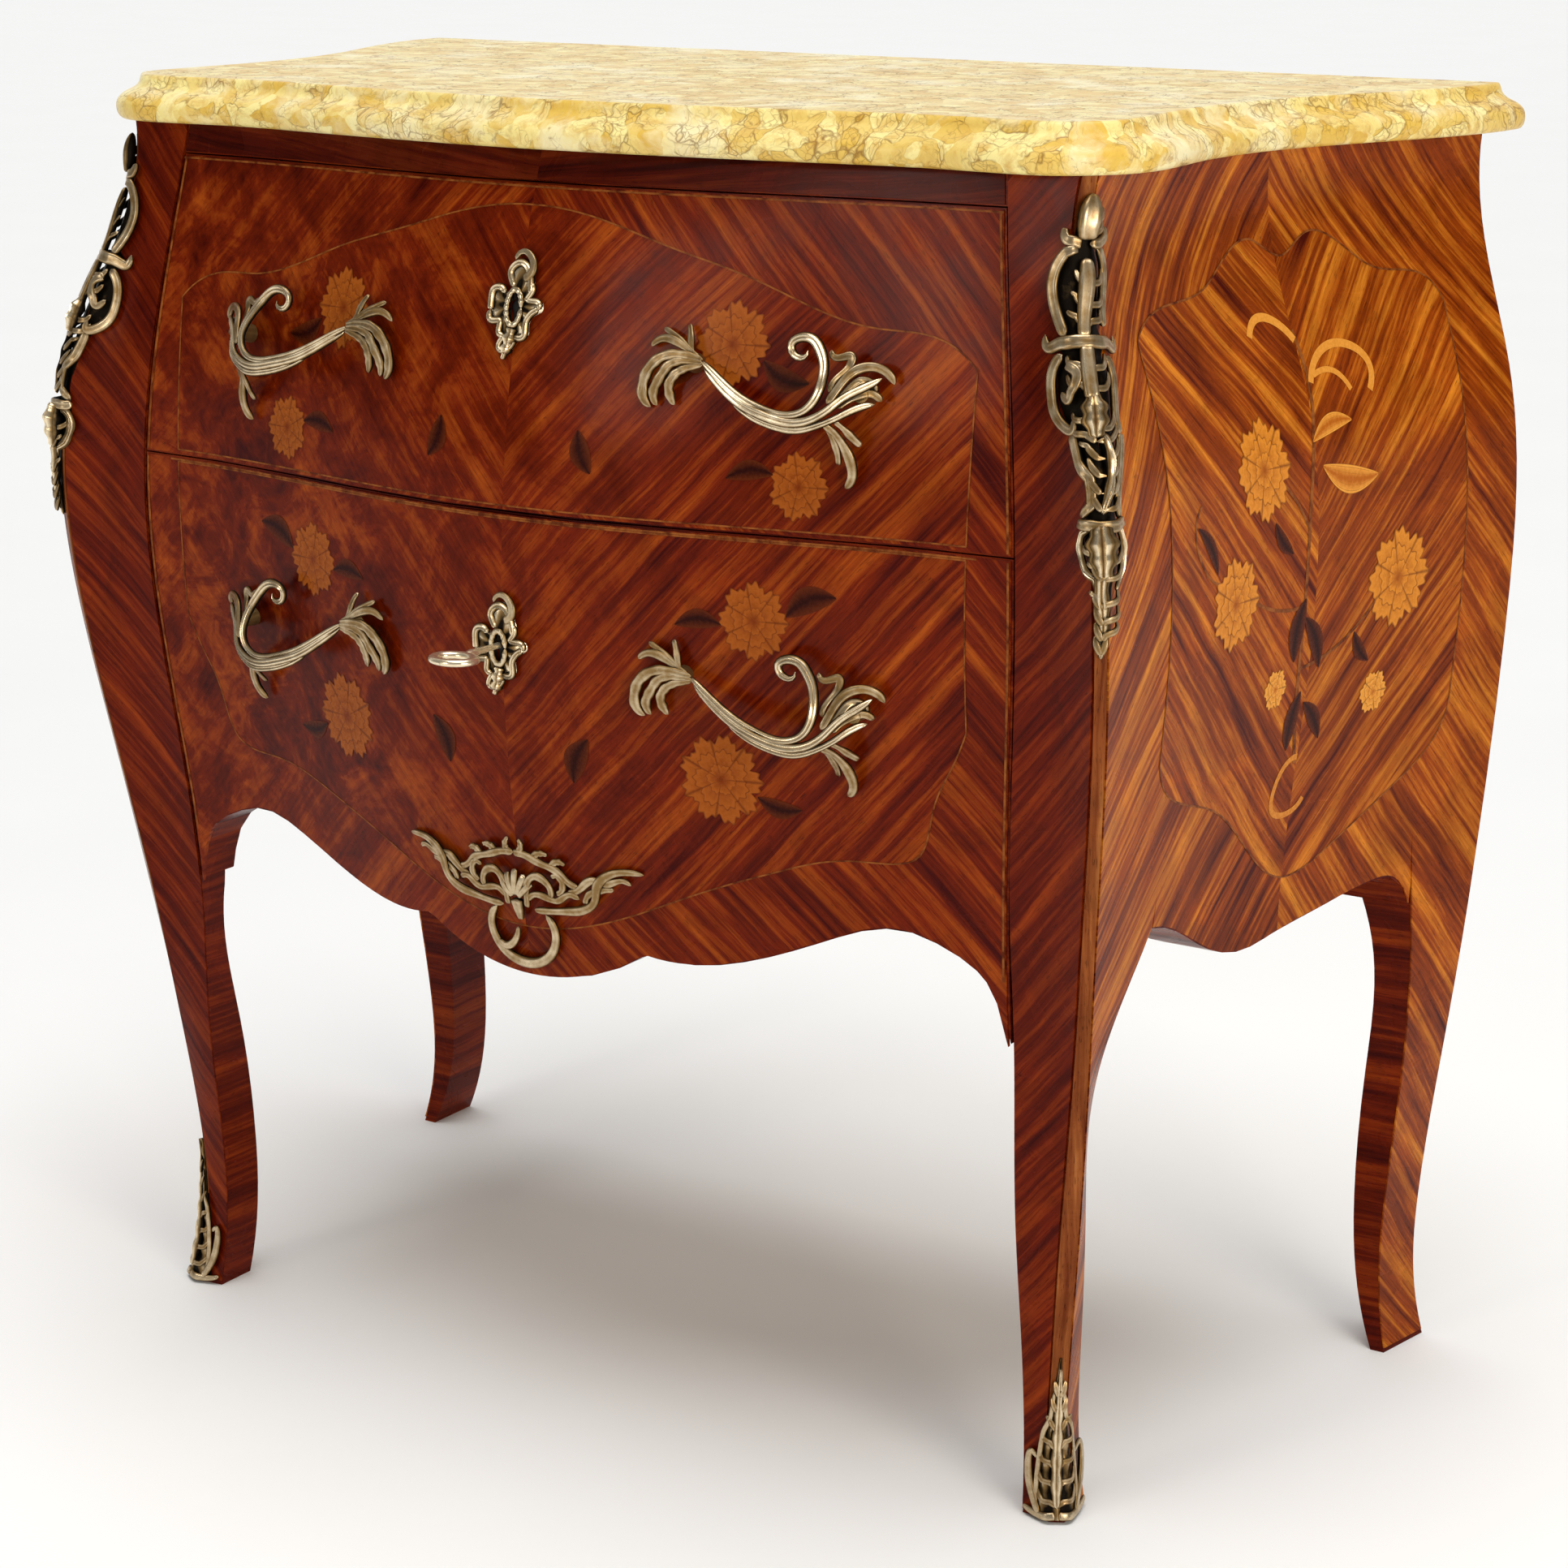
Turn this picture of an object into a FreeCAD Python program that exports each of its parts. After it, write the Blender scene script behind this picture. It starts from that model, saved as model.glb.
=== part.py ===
import FreeCAD, Part
import math
import os
from FreeCAD import Vector

# Overall sizes in millimetres. Depths run forward from the flat back of the case.
overall_height = 860
marble_thickness = 29
case_height = overall_height - marble_thickness

# Lines of the swelled case: half widths and depths at the narrow and the full places
ridge_ankle_half = 352
ridge_swell_half = 402
ridge_ankle_depth = 387
ridge_swell_depth = 449
edge_neck_half = 310
edge_swell_half = 334
edge_neck_depth = 400
edge_swell_depth = 430
centre_neck_depth = 425
centre_swell_depth = 477
back_ankle_half = 420
back_swell_half = 466
side_hollow = 24
ridge_facet = 7

# Corner posts and legs
post_rear_depth = 340
leg_rear_depth = 380
leg_tuck = 10
back_post_half = 372
back_ankle_inner_half = 392
back_post_depth = 60
back_ankle_depth = 42

# Table of offsets: each row is one line of the case, given at these shares of its height
height_shares = (0, 0.06, 0.12, 0.24, 0.36, 0.48, 0.6, 0.67, 0.74, 0.8, 0.86, 0.92, 1)
line_shares = {
    "ridge_out": (0.14, 0, 0.02, 0.2, 0.44, 0.68, 0.9, 1, 0.97, 0.84, 0.57, 0.28, 0.22),
    "ridge_front": (0.2, 0.03, 0, 0.12, 0.34, 0.59, 0.84, 0.95, 1, 0.92, 0.71, 0.42, 0.2),
    "edge_out": (0.85, 0.72, 0.66, 0.62, 0.58, 0.62, 0.92, 1, 1, 0.83, 0.55, 0.29, -0.08),
    "edge_front": (-0.2, -0.4, -0.35, 0, 0.1, 0.47, 0.86, 0.97, 1, 0.87, 0.63, 0.4, 0),
    "centre_front": (0.3, 0.3, 0.3, 0.3, 0.45, 0.78, 0.97, 1, 0.92, 0.82, 0.65, 0.42, 0.02),
    "back_out": (0.2, 0, 0.02, 0.26, 0.54, 0.76, 0.93, 0.98, 1, 0.87, 0.61, 0.33, 0.22),
    "leg_rear": (0.62, 0.46, 0.47, 0.76, 1, 0, 0, 0, 0, 0, 0, 0, 0),
    "tuck": (0.8, 1, 1, 1, 0.6, 0, 0, 0, 0, 0, 0, 0, 0),
    "back_inner": (1.95, 1.2, 1, 1.3, 1.5, 0, 0, 0, 0, 0, 0, 0, 0),
    "back_front": (0.8, 1, 1, 0.8, 0.45, 0, 0, 0, 0, 0, 0, 0, 0),
    "hollow": (0, 0, 0, 0, 0.5, 1, 1, 1, 1, 1, 1, 1, 1),
}
leg_station_shares = (0, 0.05, 0.13, 0.24, 0.36, 0.41, 0.46, 0.62, 0.72, 0.82, 0.91, 1)
case_station_shares = (0.34, 0.46, 0.62, 0.72, 0.82, 0.91, 1)
front_column_shares = (-1, -0.8, -0.6, -0.4, -0.15, 0.15, 0.4, 0.6, 0.8, 1)
side_column_shares = (0, 0.25, 0.5, 0.75, 1)
leg_front_shares = (0, 0.45, 0.75, 1)
leg_side_shares = (0, 0.5, 1)
back_leg_shares = (0, 0.5, 1)

# Marble slab
marble_overhang = 21
marble_back_overhang = 18
marble_ear_radius = 30
nose_inset = 19
nose_inset_shares = (0.3, 0, 0.05, 0.7, 1)
nose_height_shares = (0, 0.2, 0.46, 0.7, 1)
marble_front_shares = (0.3, 0.6, 0.9)
marble_side_shares = (0.75, 0.4, 0)

# Drawers
drawer_gap = 1
top_rail_height = 20
drawer_top = case_height - top_rail_height - drawer_gap
divider_share = 0.738
divider_height = divider_share * case_height
front_wall = 28
front_inner_depth = min(edge_neck_depth, centre_neck_depth) - front_wall
drawer_side_inset = 12
drawer_half = edge_neck_half - drawer_side_inset
drawer_rear_depth = 32
drawer_side_thickness = 11
drawer_back_thickness = 10
drawer_bottom_thickness = 7
drawer_bottom_rise = 8
groove_depth = 5
runner_clearance = 0.3
drawer_side_drop = 17

# Scalloped apron of the lower drawer: across as shares of the edge half width, up between two heights
apron_low_share = 0.373
apron_peak_share = 0.45
apron_low = apron_low_share * case_height
apron_peak = apron_peak_share * case_height
lobe_shares = ((-0.255, 0.42), (-0.135, 0.11), (0, 0), (0.135, 0.11), (0.255, 0.42))
scallop_shares = ((0.255, 0.42), (0.345, 0.375), (0.48, 0.52), (0.615, 0.8), (0.74, 1), (0.853, 0.86),
                  (0.934, 0.55), (0.951, 0.36), (0.965, 0.08), (0.978, -0.28))
scallop_count = 2

# Scalloped aprons of the sides: depth as shares of the post's rear depth, up between two heights
side_low_share = 0.404
side_peak_share = 0.454
side_foot_share = 0.359
side_low = side_low_share * case_height
side_peak = side_peak_share * case_height
side_foot = side_foot_share * case_height
side_shares = ((1.121, -0.15), (1.127, 0.34), (1.1, 0.8), (1.026, 1), (0.91, 0.76), (0.8, 0.27), (0.694, 0),
               (0.56, 0.1), (0.41, 0.27), (0.29, 0.41), (0.235, 0.38), (0.194, 0.1), (0.168, -0.45))

# Carcass boards
side_thickness = 29
rail_thickness = 18
rail_gap = 1
bottom_rail_share = 0.46
bottom_rail_bottom = bottom_rail_share * case_height
runner_ledge = 30
runner_shoulder = 15
guide_width = 14
guide_height = 18
back_rail_thickness = 22
back_rail_height = 40
back_panel_thickness = 8
back_panel_inset = 7
dust_board_thickness = 8
tongue = 6
tongue_clearance = 0.2

# Locks and the key
upper_key_share = 0.887
lower_key_share = 0.639
upper_key_height = upper_key_share * case_height
lower_key_height = lower_key_share * case_height
lock_half_width = 30
lock_thickness = 16
lock_wall = 2
lock_below_key = 25
lock_top_gap = 4
bolt_half_width = 9
bolt_thickness = 9
bolt_clearance = 0.3
bolt_travel = 12
bolt_lift_gap = 10.5
bolt_end_room = 2
mortise_depth = bolt_travel - lock_top_gap + bolt_end_room
key_radius = 2.4
key_hole_radius = 3.2
key_slot_width = 3.2
key_slot_drop = 10
key_bit_drop = 9
key_bit_length = 6
key_bit_thickness = 2.4
key_end_gap = 1
key_reach = 62
key_bow_length = 26
key_bow_half_width = 16
key_bow_thickness = 4.5
key_bow_wall = 5
key_bow_flats = 12
key_collar_half = 3.6
key_collar_length = 5

# Gilt mounts
plate_thickness = 6
cast_clearance = 0.5
corner_cast_stations = 10
flat_cast_stations = 4
hole_points = 7
hole_turns = [2 * math.pi * k / hole_points for k in range(hole_points)]
strand_sides = 4
escutcheon_thickness = 5
escutcheon_half_width = 23
escutcheon_half_height = 36
escutcheon_shares = ((0, 0.84), (0.3, 0.77), (0.52, 0.46), (0.57, 0.25), (0.47, 0.15), (0.87, 0.1), (0.92, -0.04),
                     (0.62, -0.16), (0.5, -0.32), (0.51, -0.5), (0.08, -0.6), (-0.04, -0.82), (-0.36, -0.88),
                     (-0.27, -0.59), (-0.51, -0.5), (-0.5, -0.32), (-0.77, -0.32), (-0.93, -0.11), (-0.94, 0.13),
                     (-0.87, 0.3), (-0.6, 0.33), (-0.44, 0.23), (-0.1, 0.36), (-0.25, 0.53), (-0.3, 0.63))
apron_mount_half_width = 93
apron_mount_height = 76
apron_mount_share = 0.384
apron_mount_bottom = apron_mount_share * case_height
apron_mount_shares = ((0, 1.02), (0.14, 1.04), (0.26, 0.96), (0.36, 0.98), (0.4, 0.84), (0.5, 0.76), (0.64, 0.86),
                      (0.78, 0.94), (1, 0.97), (0.9, 0.85), (0.74, 0.68), (0.6, 0.5), (0.42, 0.46), (0.27, 0.5),
                      (0.29, 0.3), (0.22, 0.12), (0, 0))
apron_ring_shares = (0.18, 0.2, 0.26)
apron_gap_shares = (0.36, 0.65, 0.07, 0.1)
corner_top_share = 0.985
corner_bottom_share = 0.684
corner_mount_top = corner_top_share * case_height
corner_mount_bottom = corner_bottom_share * case_height
corner_mount_half_width = 23
corner_mount_shares = ((-0.1, 1), (0.2, 0.97), (0.3, 0.92), (0.35, 0.89), (0.5, 0.87), (0.55, 0.79), (0.6, 0.7),
                       (0.8, 0.68), (0.62, 0.64), (0.8, 0.57), (0.72, 0.5), (0.58, 0.46), (0.48, 0.37),
                       (0.6, 0.32), (0.5, 0.22), (0.28, 0.12), (0, 0), (-0.3, 0.12), (-0.52, 0.22),
                       (-0.62, 0.32), (-0.45, 0.38), (-0.55, 0.46), (-0.82, 0.51), (-1.02, 0.58), (-0.8, 0.65),
                       (-1.04, 0.68), (-0.82, 0.71), (-0.98, 0.77), (-0.88, 0.83), (-0.55, 0.87), (-0.74, 0.9),
                       (-0.6, 0.94), (-0.45, 0.98))
corner_hole_shares = ((-0.62, 0.78, 0.2, 0.05), (0.22, 0.78, 0.2, 0.05), (-0.72, 0.58, 0.16, 0.045),
                      (0.5, 0.56, 0.14, 0.035), (-0.05, 0.9, 0.1, 0.022))
sabot_height = 108
sabot_half_width = 32
sabot_thickness = 3
sabot_shares = ((-1, -0.3), (0, -0.35), (1, -0.3), (1, 0.1), (0.72, 0.24), (0.5, 0.34), (0.5, 0.5), (0.22, 0.74),
                (0, 1), (-0.22, 0.74), (-0.5, 0.5), (-0.5, 0.34), (-0.72, 0.24), (-1, 0.1))
handle_width = 158
handle_height = 118
handle_projection = 30
handle_centre_half = 176
upper_handle_share = 0.835
lower_handle_share = 0.611
upper_handle_height = upper_handle_share * case_height
lower_handle_height = lower_handle_share * case_height
handle_bar_radius = 5.5
handle_strand_shares = (
    ((-0.27, 0.14, 0.3, 0.9), (-0.16, 0.05, 0.65, 0.75), (-0.05, -0.02, 0.9, 0.75), (0.07, -0.055, 1, 0.8),
     (0.18, -0.045, 1, 0.85), (0.24, 0.03, 0.9, 0.8), (0.24, 0.13, 0.7, 0.75), (0.21, 0.22, 0.5, 0.9),
     (0.165, 0.285, 0.4, 1), (0.105, 0.295, 0.4, 0.9), (0.085, 0.245, 0.45, 0.8), (0.125, 0.22, 0.5, 0.7)),
    ((-0.2, 0.07, 0.5, 0.5), (-0.05, -0.055, 0.85, 0.7), (0.075, -0.11, 1, 0.75), (0.175, -0.125, 1, 0.8),
     (0.26, -0.09, 0.9, 0.8), (0.31, 0, 0.75, 0.75), (0.315, 0.1, 0.55, 0.65), (0.298, 0.17, 0.4, 0.6),
     (0.32, 0.22, 0.3, 0.8)),
    ((0.23, -0.1, 0.9, 0.7), (0.34, -0.01, 0.72, 0.9), (0.405, 0.08, 0.52, 1.1), (0.455, 0.165, 0.35, 1),
     (0.495, 0.115, 0.22, 0.5)),
    ((0.28, -0.07, 0.8, 0.6), (0.37, 0.015, 0.56, 0.85), (0.43, 0.04, 0.3, 0.4)),
    ((0.24, -0.1, 0.85, 0.7), (0.295, -0.15, 0.66, 0.8), (0.312, -0.245, 0.45, 1), (0.33, -0.33, 0.32, 0.9),
     (0.338, -0.41, 0.22, 0.4)),
    ((0.28, -0.1, 0.72, 0.5), (0.333, -0.12, 0.47, 0.75), (0.373, -0.186, 0.25, 0.35)),
    ((-0.255, 0.14, 0.35, 0.9), (-0.375, 0.175, 0.3, 1), (-0.465, 0.13, 0.27, 1.15), (-0.505, 0.035, 0.22, 1.1),
     (-0.48, -0.075, 0.18, 0.6)),
    ((-0.265, 0.13, 0.32, 0.8), (-0.355, 0.125, 0.3, 0.9), (-0.415, 0.05, 0.24, 0.95), (-0.393, -0.05, 0.18, 0.5)),
    ((-0.26, 0.14, 0.35, 0.8), (-0.35, 0.33, 0.15, 0.35)),
    ((-0.26, 0.14, 0.35, 0.8), (-0.435, 0.3, 0.15, 0.45)),
    ((-0.26, 0.14, 0.35, 0.8), (-0.495, 0.215, 0.15, 0.5)),
)
handle_boss_shares = ((-0.32, 0.16, 0.35), (0.39, 0.05, 0.5))
handle_boss_half_width = 5.5
handle_bolt_half_width = 2.2
handle_bolt_clearance = 0.1
handle_bolt_grip = 5
handle_nut_half_width = 6
handle_nut_thickness = 5

# How far cutters and blanks run past the finished piece
overrun = 5


def between(low, high, share):
    return low + (high - low) * share


def steady_curve(places, values, place):
    """Cubic through the table that never passes beyond its neighbouring values."""
    last = len(places) - 1
    k = min(max(sum(1 for p in places if p <= place) - 1, 0), last - 1)
    steps = [places[i + 1] - places[i] for i in range(last)]
    slopes = [(values[i + 1] - values[i]) / steps[i] for i in range(last)]

    def lean(i):
        if i == 0:
            return slopes[0]
        if i == last:
            return slopes[-1]
        if slopes[i - 1] * slopes[i] <= 0:
            return 0
        return 2 * slopes[i - 1] * slopes[i] / (slopes[i - 1] + slopes[i])

    t = (place - places[k]) / steps[k]
    rise = values[k] * (1 + 2 * t) * (1 - t) ** 2 + values[k + 1] * t * t * (3 - 2 * t)
    return rise + steps[k] * (lean(k) * t * (1 - t) ** 2 - lean(k + 1) * t * t * (1 - t))


def line(name, z, low, high):
    return between(low, high, steady_curve(height_shares, line_shares[name], z / case_height))


def ridge_half(z):
    return line("ridge_out", z, ridge_ankle_half, ridge_swell_half)


def ridge_depth(z):
    return line("ridge_front", z, ridge_ankle_depth, ridge_swell_depth)


def edge_half(z):
    return line("edge_out", z, edge_neck_half, edge_swell_half)


def edge_depth(z):
    return line("edge_front", z, edge_neck_depth, edge_swell_depth)


def centre_depth(z):
    return line("centre_front", z, centre_neck_depth, centre_swell_depth)


def back_half(z):
    return line("back_out", z, back_ankle_half, back_swell_half)


def leg_rear(z):
    return line("leg_rear", z, post_rear_depth - overrun, leg_rear_depth)


def back_leg_inner(z):
    return line("back_inner", z, back_post_half, back_ankle_inner_half)


def back_leg_front(z):
    return line("back_front", z, back_post_depth + overrun, back_ankle_depth)


def front_depth(x, z):
    """Serpentine front: a raised cosine between the drawer edges, then a cove out to the corner ridge."""
    across = abs(x) / edge_half(z)
    if across <= 1:
        return between(edge_depth(z), centre_depth(z), (1 + math.cos(math.pi * across)) / 2)
    out = (abs(x) - edge_half(z)) / (ridge_half(z) - edge_half(z))
    return between(edge_depth(z), ridge_depth(z), out * out)


def side_half(depth, z):
    """Serpentine side: a straight flare from the ridge to the back, hollowed by a parabola."""
    back = (ridge_depth(z) - depth) / ridge_depth(z)
    flare = between(ridge_half(z), back_half(z), back)
    return flare - line("hollow", z, 0, side_hollow) * 4 * back * (1 - back)


# The origin lies on the floor in the middle of the overall depth, from the marble's back to the key's bow
front_reach = centre_depth(lower_key_height) + key_reach
origin_depth = (front_reach - marble_back_overhang) / 2


def spot(x, depth, z):
    return Vector(x, origin_depth - depth, z)


def block(x_low, x_high, depth_low, depth_high, z_low, z_high):
    corner = spot(x_low, depth_high, z_low)
    return Part.makeBox(x_high - x_low, depth_high - depth_low, z_high - z_low, corner)


def rod(radius, x, z, depth_low, depth_high):
    return Part.makeCylinder(radius, depth_high - depth_low, spot(x, depth_high, z), Vector(0, 1, 0))


def square_bar(half, x, z, depth_low, depth_high):
    return block(x - half, x + half, depth_low, depth_high, z - half, z + half)


def mirrored(shape):
    return shape.mirror(Vector(0, 0, 0), Vector(1, 0, 0))


def through(points, places):
    curve = Part.BSplineCurve()
    curve.interpolate(Points=points, Parameters=places)
    return curve


def spacing(points):
    lengths = [0]
    for a, b in zip(points, points[1:]):
        lengths.append(lengths[-1] + a.distanceToPoint(b))
    return [length / lengths[-1] for length in lengths]


def lofted(columns, places):
    """Closed solid inside a ring of upright smooth lines, ruled from each line to the next and capped flat."""
    lines = [through(column, places).toShape() for column in columns]
    faces = [Part.makeRuledSurface(a, b) for a, b in zip(lines, lines[1:] + lines[:1])]
    for end in (0, -1):
        ring = [column[end] for column in columns]
        faces.append(Part.Face(Part.makePolygon(ring + ring[:1])))
    return closed(faces)


def facetted(rings):
    """Closed solid of flat facets from each ring of points to the next."""
    outlines = [rings[0], rings[-1]]
    for ring, ahead in zip(rings, rings[1:]):
        for k in range(len(ring)):
            outlines += [[ring[k - 1], ring[k], ahead[k]], [ring[k - 1], ahead[k], ahead[k - 1]]]
    return closed([Part.Face(Part.makePolygon(outline + outline[:1])) for outline in outlines])


def cast_blank(functions, station_shares, z_low, z_high, stations):
    """Facetted blank of a casting, on the same curves as the wood that it lies on."""
    heights = [share * case_height for share in station_shares]
    curves = [through(column, spread(station_shares)) for column in upright(functions, heights)]
    rings = []
    for k in range(stations + 1):
        place = (between(z_low, z_high, k / stations) - heights[0]) / (heights[-1] - heights[0])
        rings.append([curve.value(place) for curve in curves])
    return facetted(rings)


def closed(faces):
    shell = Part.makeShell(faces)
    shell.sewShape()
    solid = Part.makeSolid(shell)
    if solid.Volume < 0:
        solid.reverse()
    return solid


def upright(functions, heights):
    return [[spot(*function(z)) for z in heights] for function in functions]


def prism(points, direction):
    """Straight cutter from a closed outline of short flats."""
    return Part.Face(Part.makePolygon(points + points[:1])).extrude(direction)


def midway(first, second):
    """Upright line halfway between two others."""
    def point(z):
        return tuple((a + b) / 2 for a, b in zip(first(z), second(z)))
    return point


def front_leg_lines(grow=0):
    """Ring of lines of the right front post and leg: serpentine front, narrow ridge facet, outer side, inner edge."""
    def inner(z):
        return edge_half(z) + drawer_gap

    def on_front(share):
        def point(z):
            x = between(inner(z), ridge_half(z) - ridge_facet, share)
            return x + grow * share, front_depth(x, z) + grow, z
        return point

    def on_side(share):
        def point(z):
            depth = between(ridge_depth(z) - ridge_facet, leg_rear(z), share)
            tucked = share * line("tuck", z, 0, leg_tuck)
            return side_half(depth, z) - tucked + grow, depth + grow * (1 - share), z
        return point

    def rear_inner(z):
        return inner(z), leg_rear(z), z

    front = [on_front(share) for share in leg_front_shares]
    side = [on_side(share) for share in leg_side_shares]
    return front + side + [midway(side[-1], rear_inner), rear_inner, midway(rear_inner, front[0])]


def front_leg():
    heights = [share * case_height for share in leg_station_shares]
    return lofted(upright(front_leg_lines(), heights), leg_station_shares)


def back_leg():
    """Right back post and leg: flared outer side, flat back."""
    heights = [share * case_height for share in leg_station_shares]

    def on_side(share):
        def point(z):
            depth = between(back_leg_front(z), -overrun, share)
            return side_half(depth, z), depth, z
        return point

    def rear_inner(z):
        return back_leg_inner(z), -overrun, z

    def front_inner(z):
        return back_leg_inner(z), back_leg_front(z), z

    side = [on_side(share) for share in back_leg_shares]
    inside = [rear_inner, midway(rear_inner, front_inner), front_inner, midway(front_inner, side[0])]
    leg = lofted(upright(side + inside, heights), leg_station_shares)
    return leg.common(block(0, back_swell_half + overrun, 0, front_reach, 0, case_height))


def side_panel():
    """Right side: the hollowed, swelled outer face and a flat inner face, for straight-sided drawers."""
    heights = [share * case_height for share in case_station_shares]

    def outside(share):
        def point(z):
            depth = between(post_rear_depth + overrun, back_post_depth - overrun, share)
            return side_half(depth, z), depth, z
        return point

    def inside(depth):
        def point(z):
            return side_half(depth, case_height) - side_thickness, depth, z
        return point

    outer = [outside(share) for share in side_column_shares]
    inner = [inside(back_post_depth - overrun), inside(post_rear_depth + overrun)]
    board = lofted(upright(outer + inner, heights), spread(case_station_shares))
    return board.common(block(0, back_swell_half, back_post_depth, post_rear_depth, side_foot, case_height))


def spread(shares):
    return [(share - shares[0]) / (shares[-1] - shares[0]) for share in shares]


def front_lines(inner_depth, grow=0, reach=0):
    """Ring of lines of the whole front between the posts: serpentine outside, flat inside."""
    def on_front(share):
        def point(z):
            return share * (edge_half(z) + reach), front_depth(share * edge_half(z), z) + grow, z
        return point

    def inside(side):
        def point(z):
            return side * (edge_half(z) + reach), inner_depth, z
        return point

    return [on_front(share) for share in front_column_shares] + [inside(1), inside(-1)]


def front_blank(inner_depth, reach=0):
    """Whole front between the posts, before it is sawn into the rail and the two drawer fronts."""
    heights = [share * case_height for share in case_station_shares]
    lines = front_lines(inner_depth - overrun, 0, reach)
    blank = lofted(upright(lines, heights), spread(case_station_shares))
    return blank.common(block(-back_swell_half, back_swell_half, inner_depth, front_reach, 0, case_height))


def slice_of(shape, z_low, z_high):
    wide = back_swell_half
    return shape.common(block(-wide, wide, -overrun, front_reach, z_low, z_high))


def scalloped(points):
    """Smooth line through the points of a scalloped edge, sawn in short flats."""
    return through(points, spacing(points)).discretize(Number=scallop_count * (len(points) - 1) + 1)


def apron_cutter():
    """Space below the lower drawer's scalloped edge: a middle lobe, two cusps and two arches."""
    def place(share):
        return spot(share[0] * edge_swell_half, front_reach, between(apron_low, apron_peak, share[1]))

    def flip(share):
        return -share[0], share[1]

    right = [place(share) for share in scallop_shares]
    left = [place(flip(share)) for share in reversed(scallop_shares)]
    lobe = [place(share) for share in lobe_shares]
    outline = scalloped(left)[:-1] + scalloped(lobe)[:-1] + scalloped(right)
    outline += [spot(edge_swell_half, front_reach, 0), spot(-edge_swell_half, front_reach, 0)]
    return prism(outline, Vector(0, front_reach - post_rear_depth, 0))


def side_apron_cutter():
    """Space below the right side's scalloped edge, from the front leg to the back leg."""
    start = spot(ridge_ankle_half / 2, leg_rear(side_foot), side_foot)
    end = spot(ridge_ankle_half / 2, back_leg_front(side_foot), side_foot)
    points = [spot(start.x, share[0] * post_rear_depth, between(side_low, side_peak, share[1]))
              for share in side_shares]
    return prism(scalloped([start] + points + [end]), Vector(back_swell_half, 0, 0))


def marble_ring(out, z):
    """The case's top outline set out by an overhang, with rounded ears at the front corners."""
    top = case_height
    ear = ridge_half(top)
    ear_depth = ridge_depth(top)
    round_in = (marble_ear_radius + out) * (1 - math.sqrt(0.5))
    across = [share * edge_half(top) for share in marble_front_shares]
    depths = [ear_depth - marble_ear_radius / 2] + [share * ear_depth for share in marble_side_shares]
    half = [(x, front_depth(x, top) + out) for x in across]
    half += [(ear - marble_ear_radius / 2, ear_depth + out), (ear + out - round_in, ear_depth + out - round_in)]
    half += [(side_half(depth, top) + out, depth) for depth in depths]
    half += [(side_half(0, top) + out, -marble_back_overhang - overrun)]
    middle = [spot(0, front_depth(0, top) + out, z)]
    return [spot(-x, depth, z) for x, depth in reversed(half)] + middle + [spot(x, depth, z) for x, depth in half]


def marble():
    """Slab with a moulded edge on the front and sides, stepped in through an ogee, and a straight sawn back."""
    places = spacing(marble_ring(marble_overhang, case_height))
    rings = []
    for inset_share, height_share in zip(nose_inset_shares, nose_height_shares):
        points = marble_ring(marble_overhang - inset_share * nose_inset,
                             case_height + height_share * marble_thickness)
        moulded = through(points, places).toShape()
        rings.append(Part.Wire([moulded, Part.makeLine(points[-1], points[0])]))
    wide = back_swell_half
    room = block(-wide, wide, -marble_back_overhang, front_reach, case_height, overall_height)
    return Part.makeLoft(rings, True, True).common(room)


def conforming(outline, lines, station_shares, thickness, z_low, z_high, stations):
    """Casting of even thickness that lies close on the wood behind it, cut out by an outline."""
    outer = cast_blank(lines(thickness), station_shares, z_low, z_high, stations)
    inner = cast_blank(lines(cast_clearance), station_shares, z_low, z_high, stations)
    return outer.common(outline).cut(inner)


def cast_front_lines(grow):
    return front_lines(front_inner_depth, grow)


def front_outline(points):
    placed = [spot(x, front_reach, z) for x, z in points]
    return prism(placed, Vector(0, front_reach - post_rear_depth, 0))


def corner_outline(points):
    """Cutter for a mount on the right front corner, seen square to the ridge; points are (across, height)."""
    ridge = spot(ridge_swell_half, ridge_swell_depth, 0)
    from_front = (ridge - spot(edge_swell_half, edge_swell_depth, 0)).normalize()
    from_side = (ridge - spot(ridge_swell_half, post_rear_depth, 0)).normalize()
    outward = (from_front + from_side).normalize()
    across = Vector(-outward.y, outward.x, 0)
    placed = []
    for along, z in points:
        ridge = spot(ridge_half(z), ridge_depth(z), 0)
        placed.append(across * (ridge.dot(across) + along) + Vector(0, 0, z))
    return prism(placed, outward * (back_swell_half + front_reach))


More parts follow.
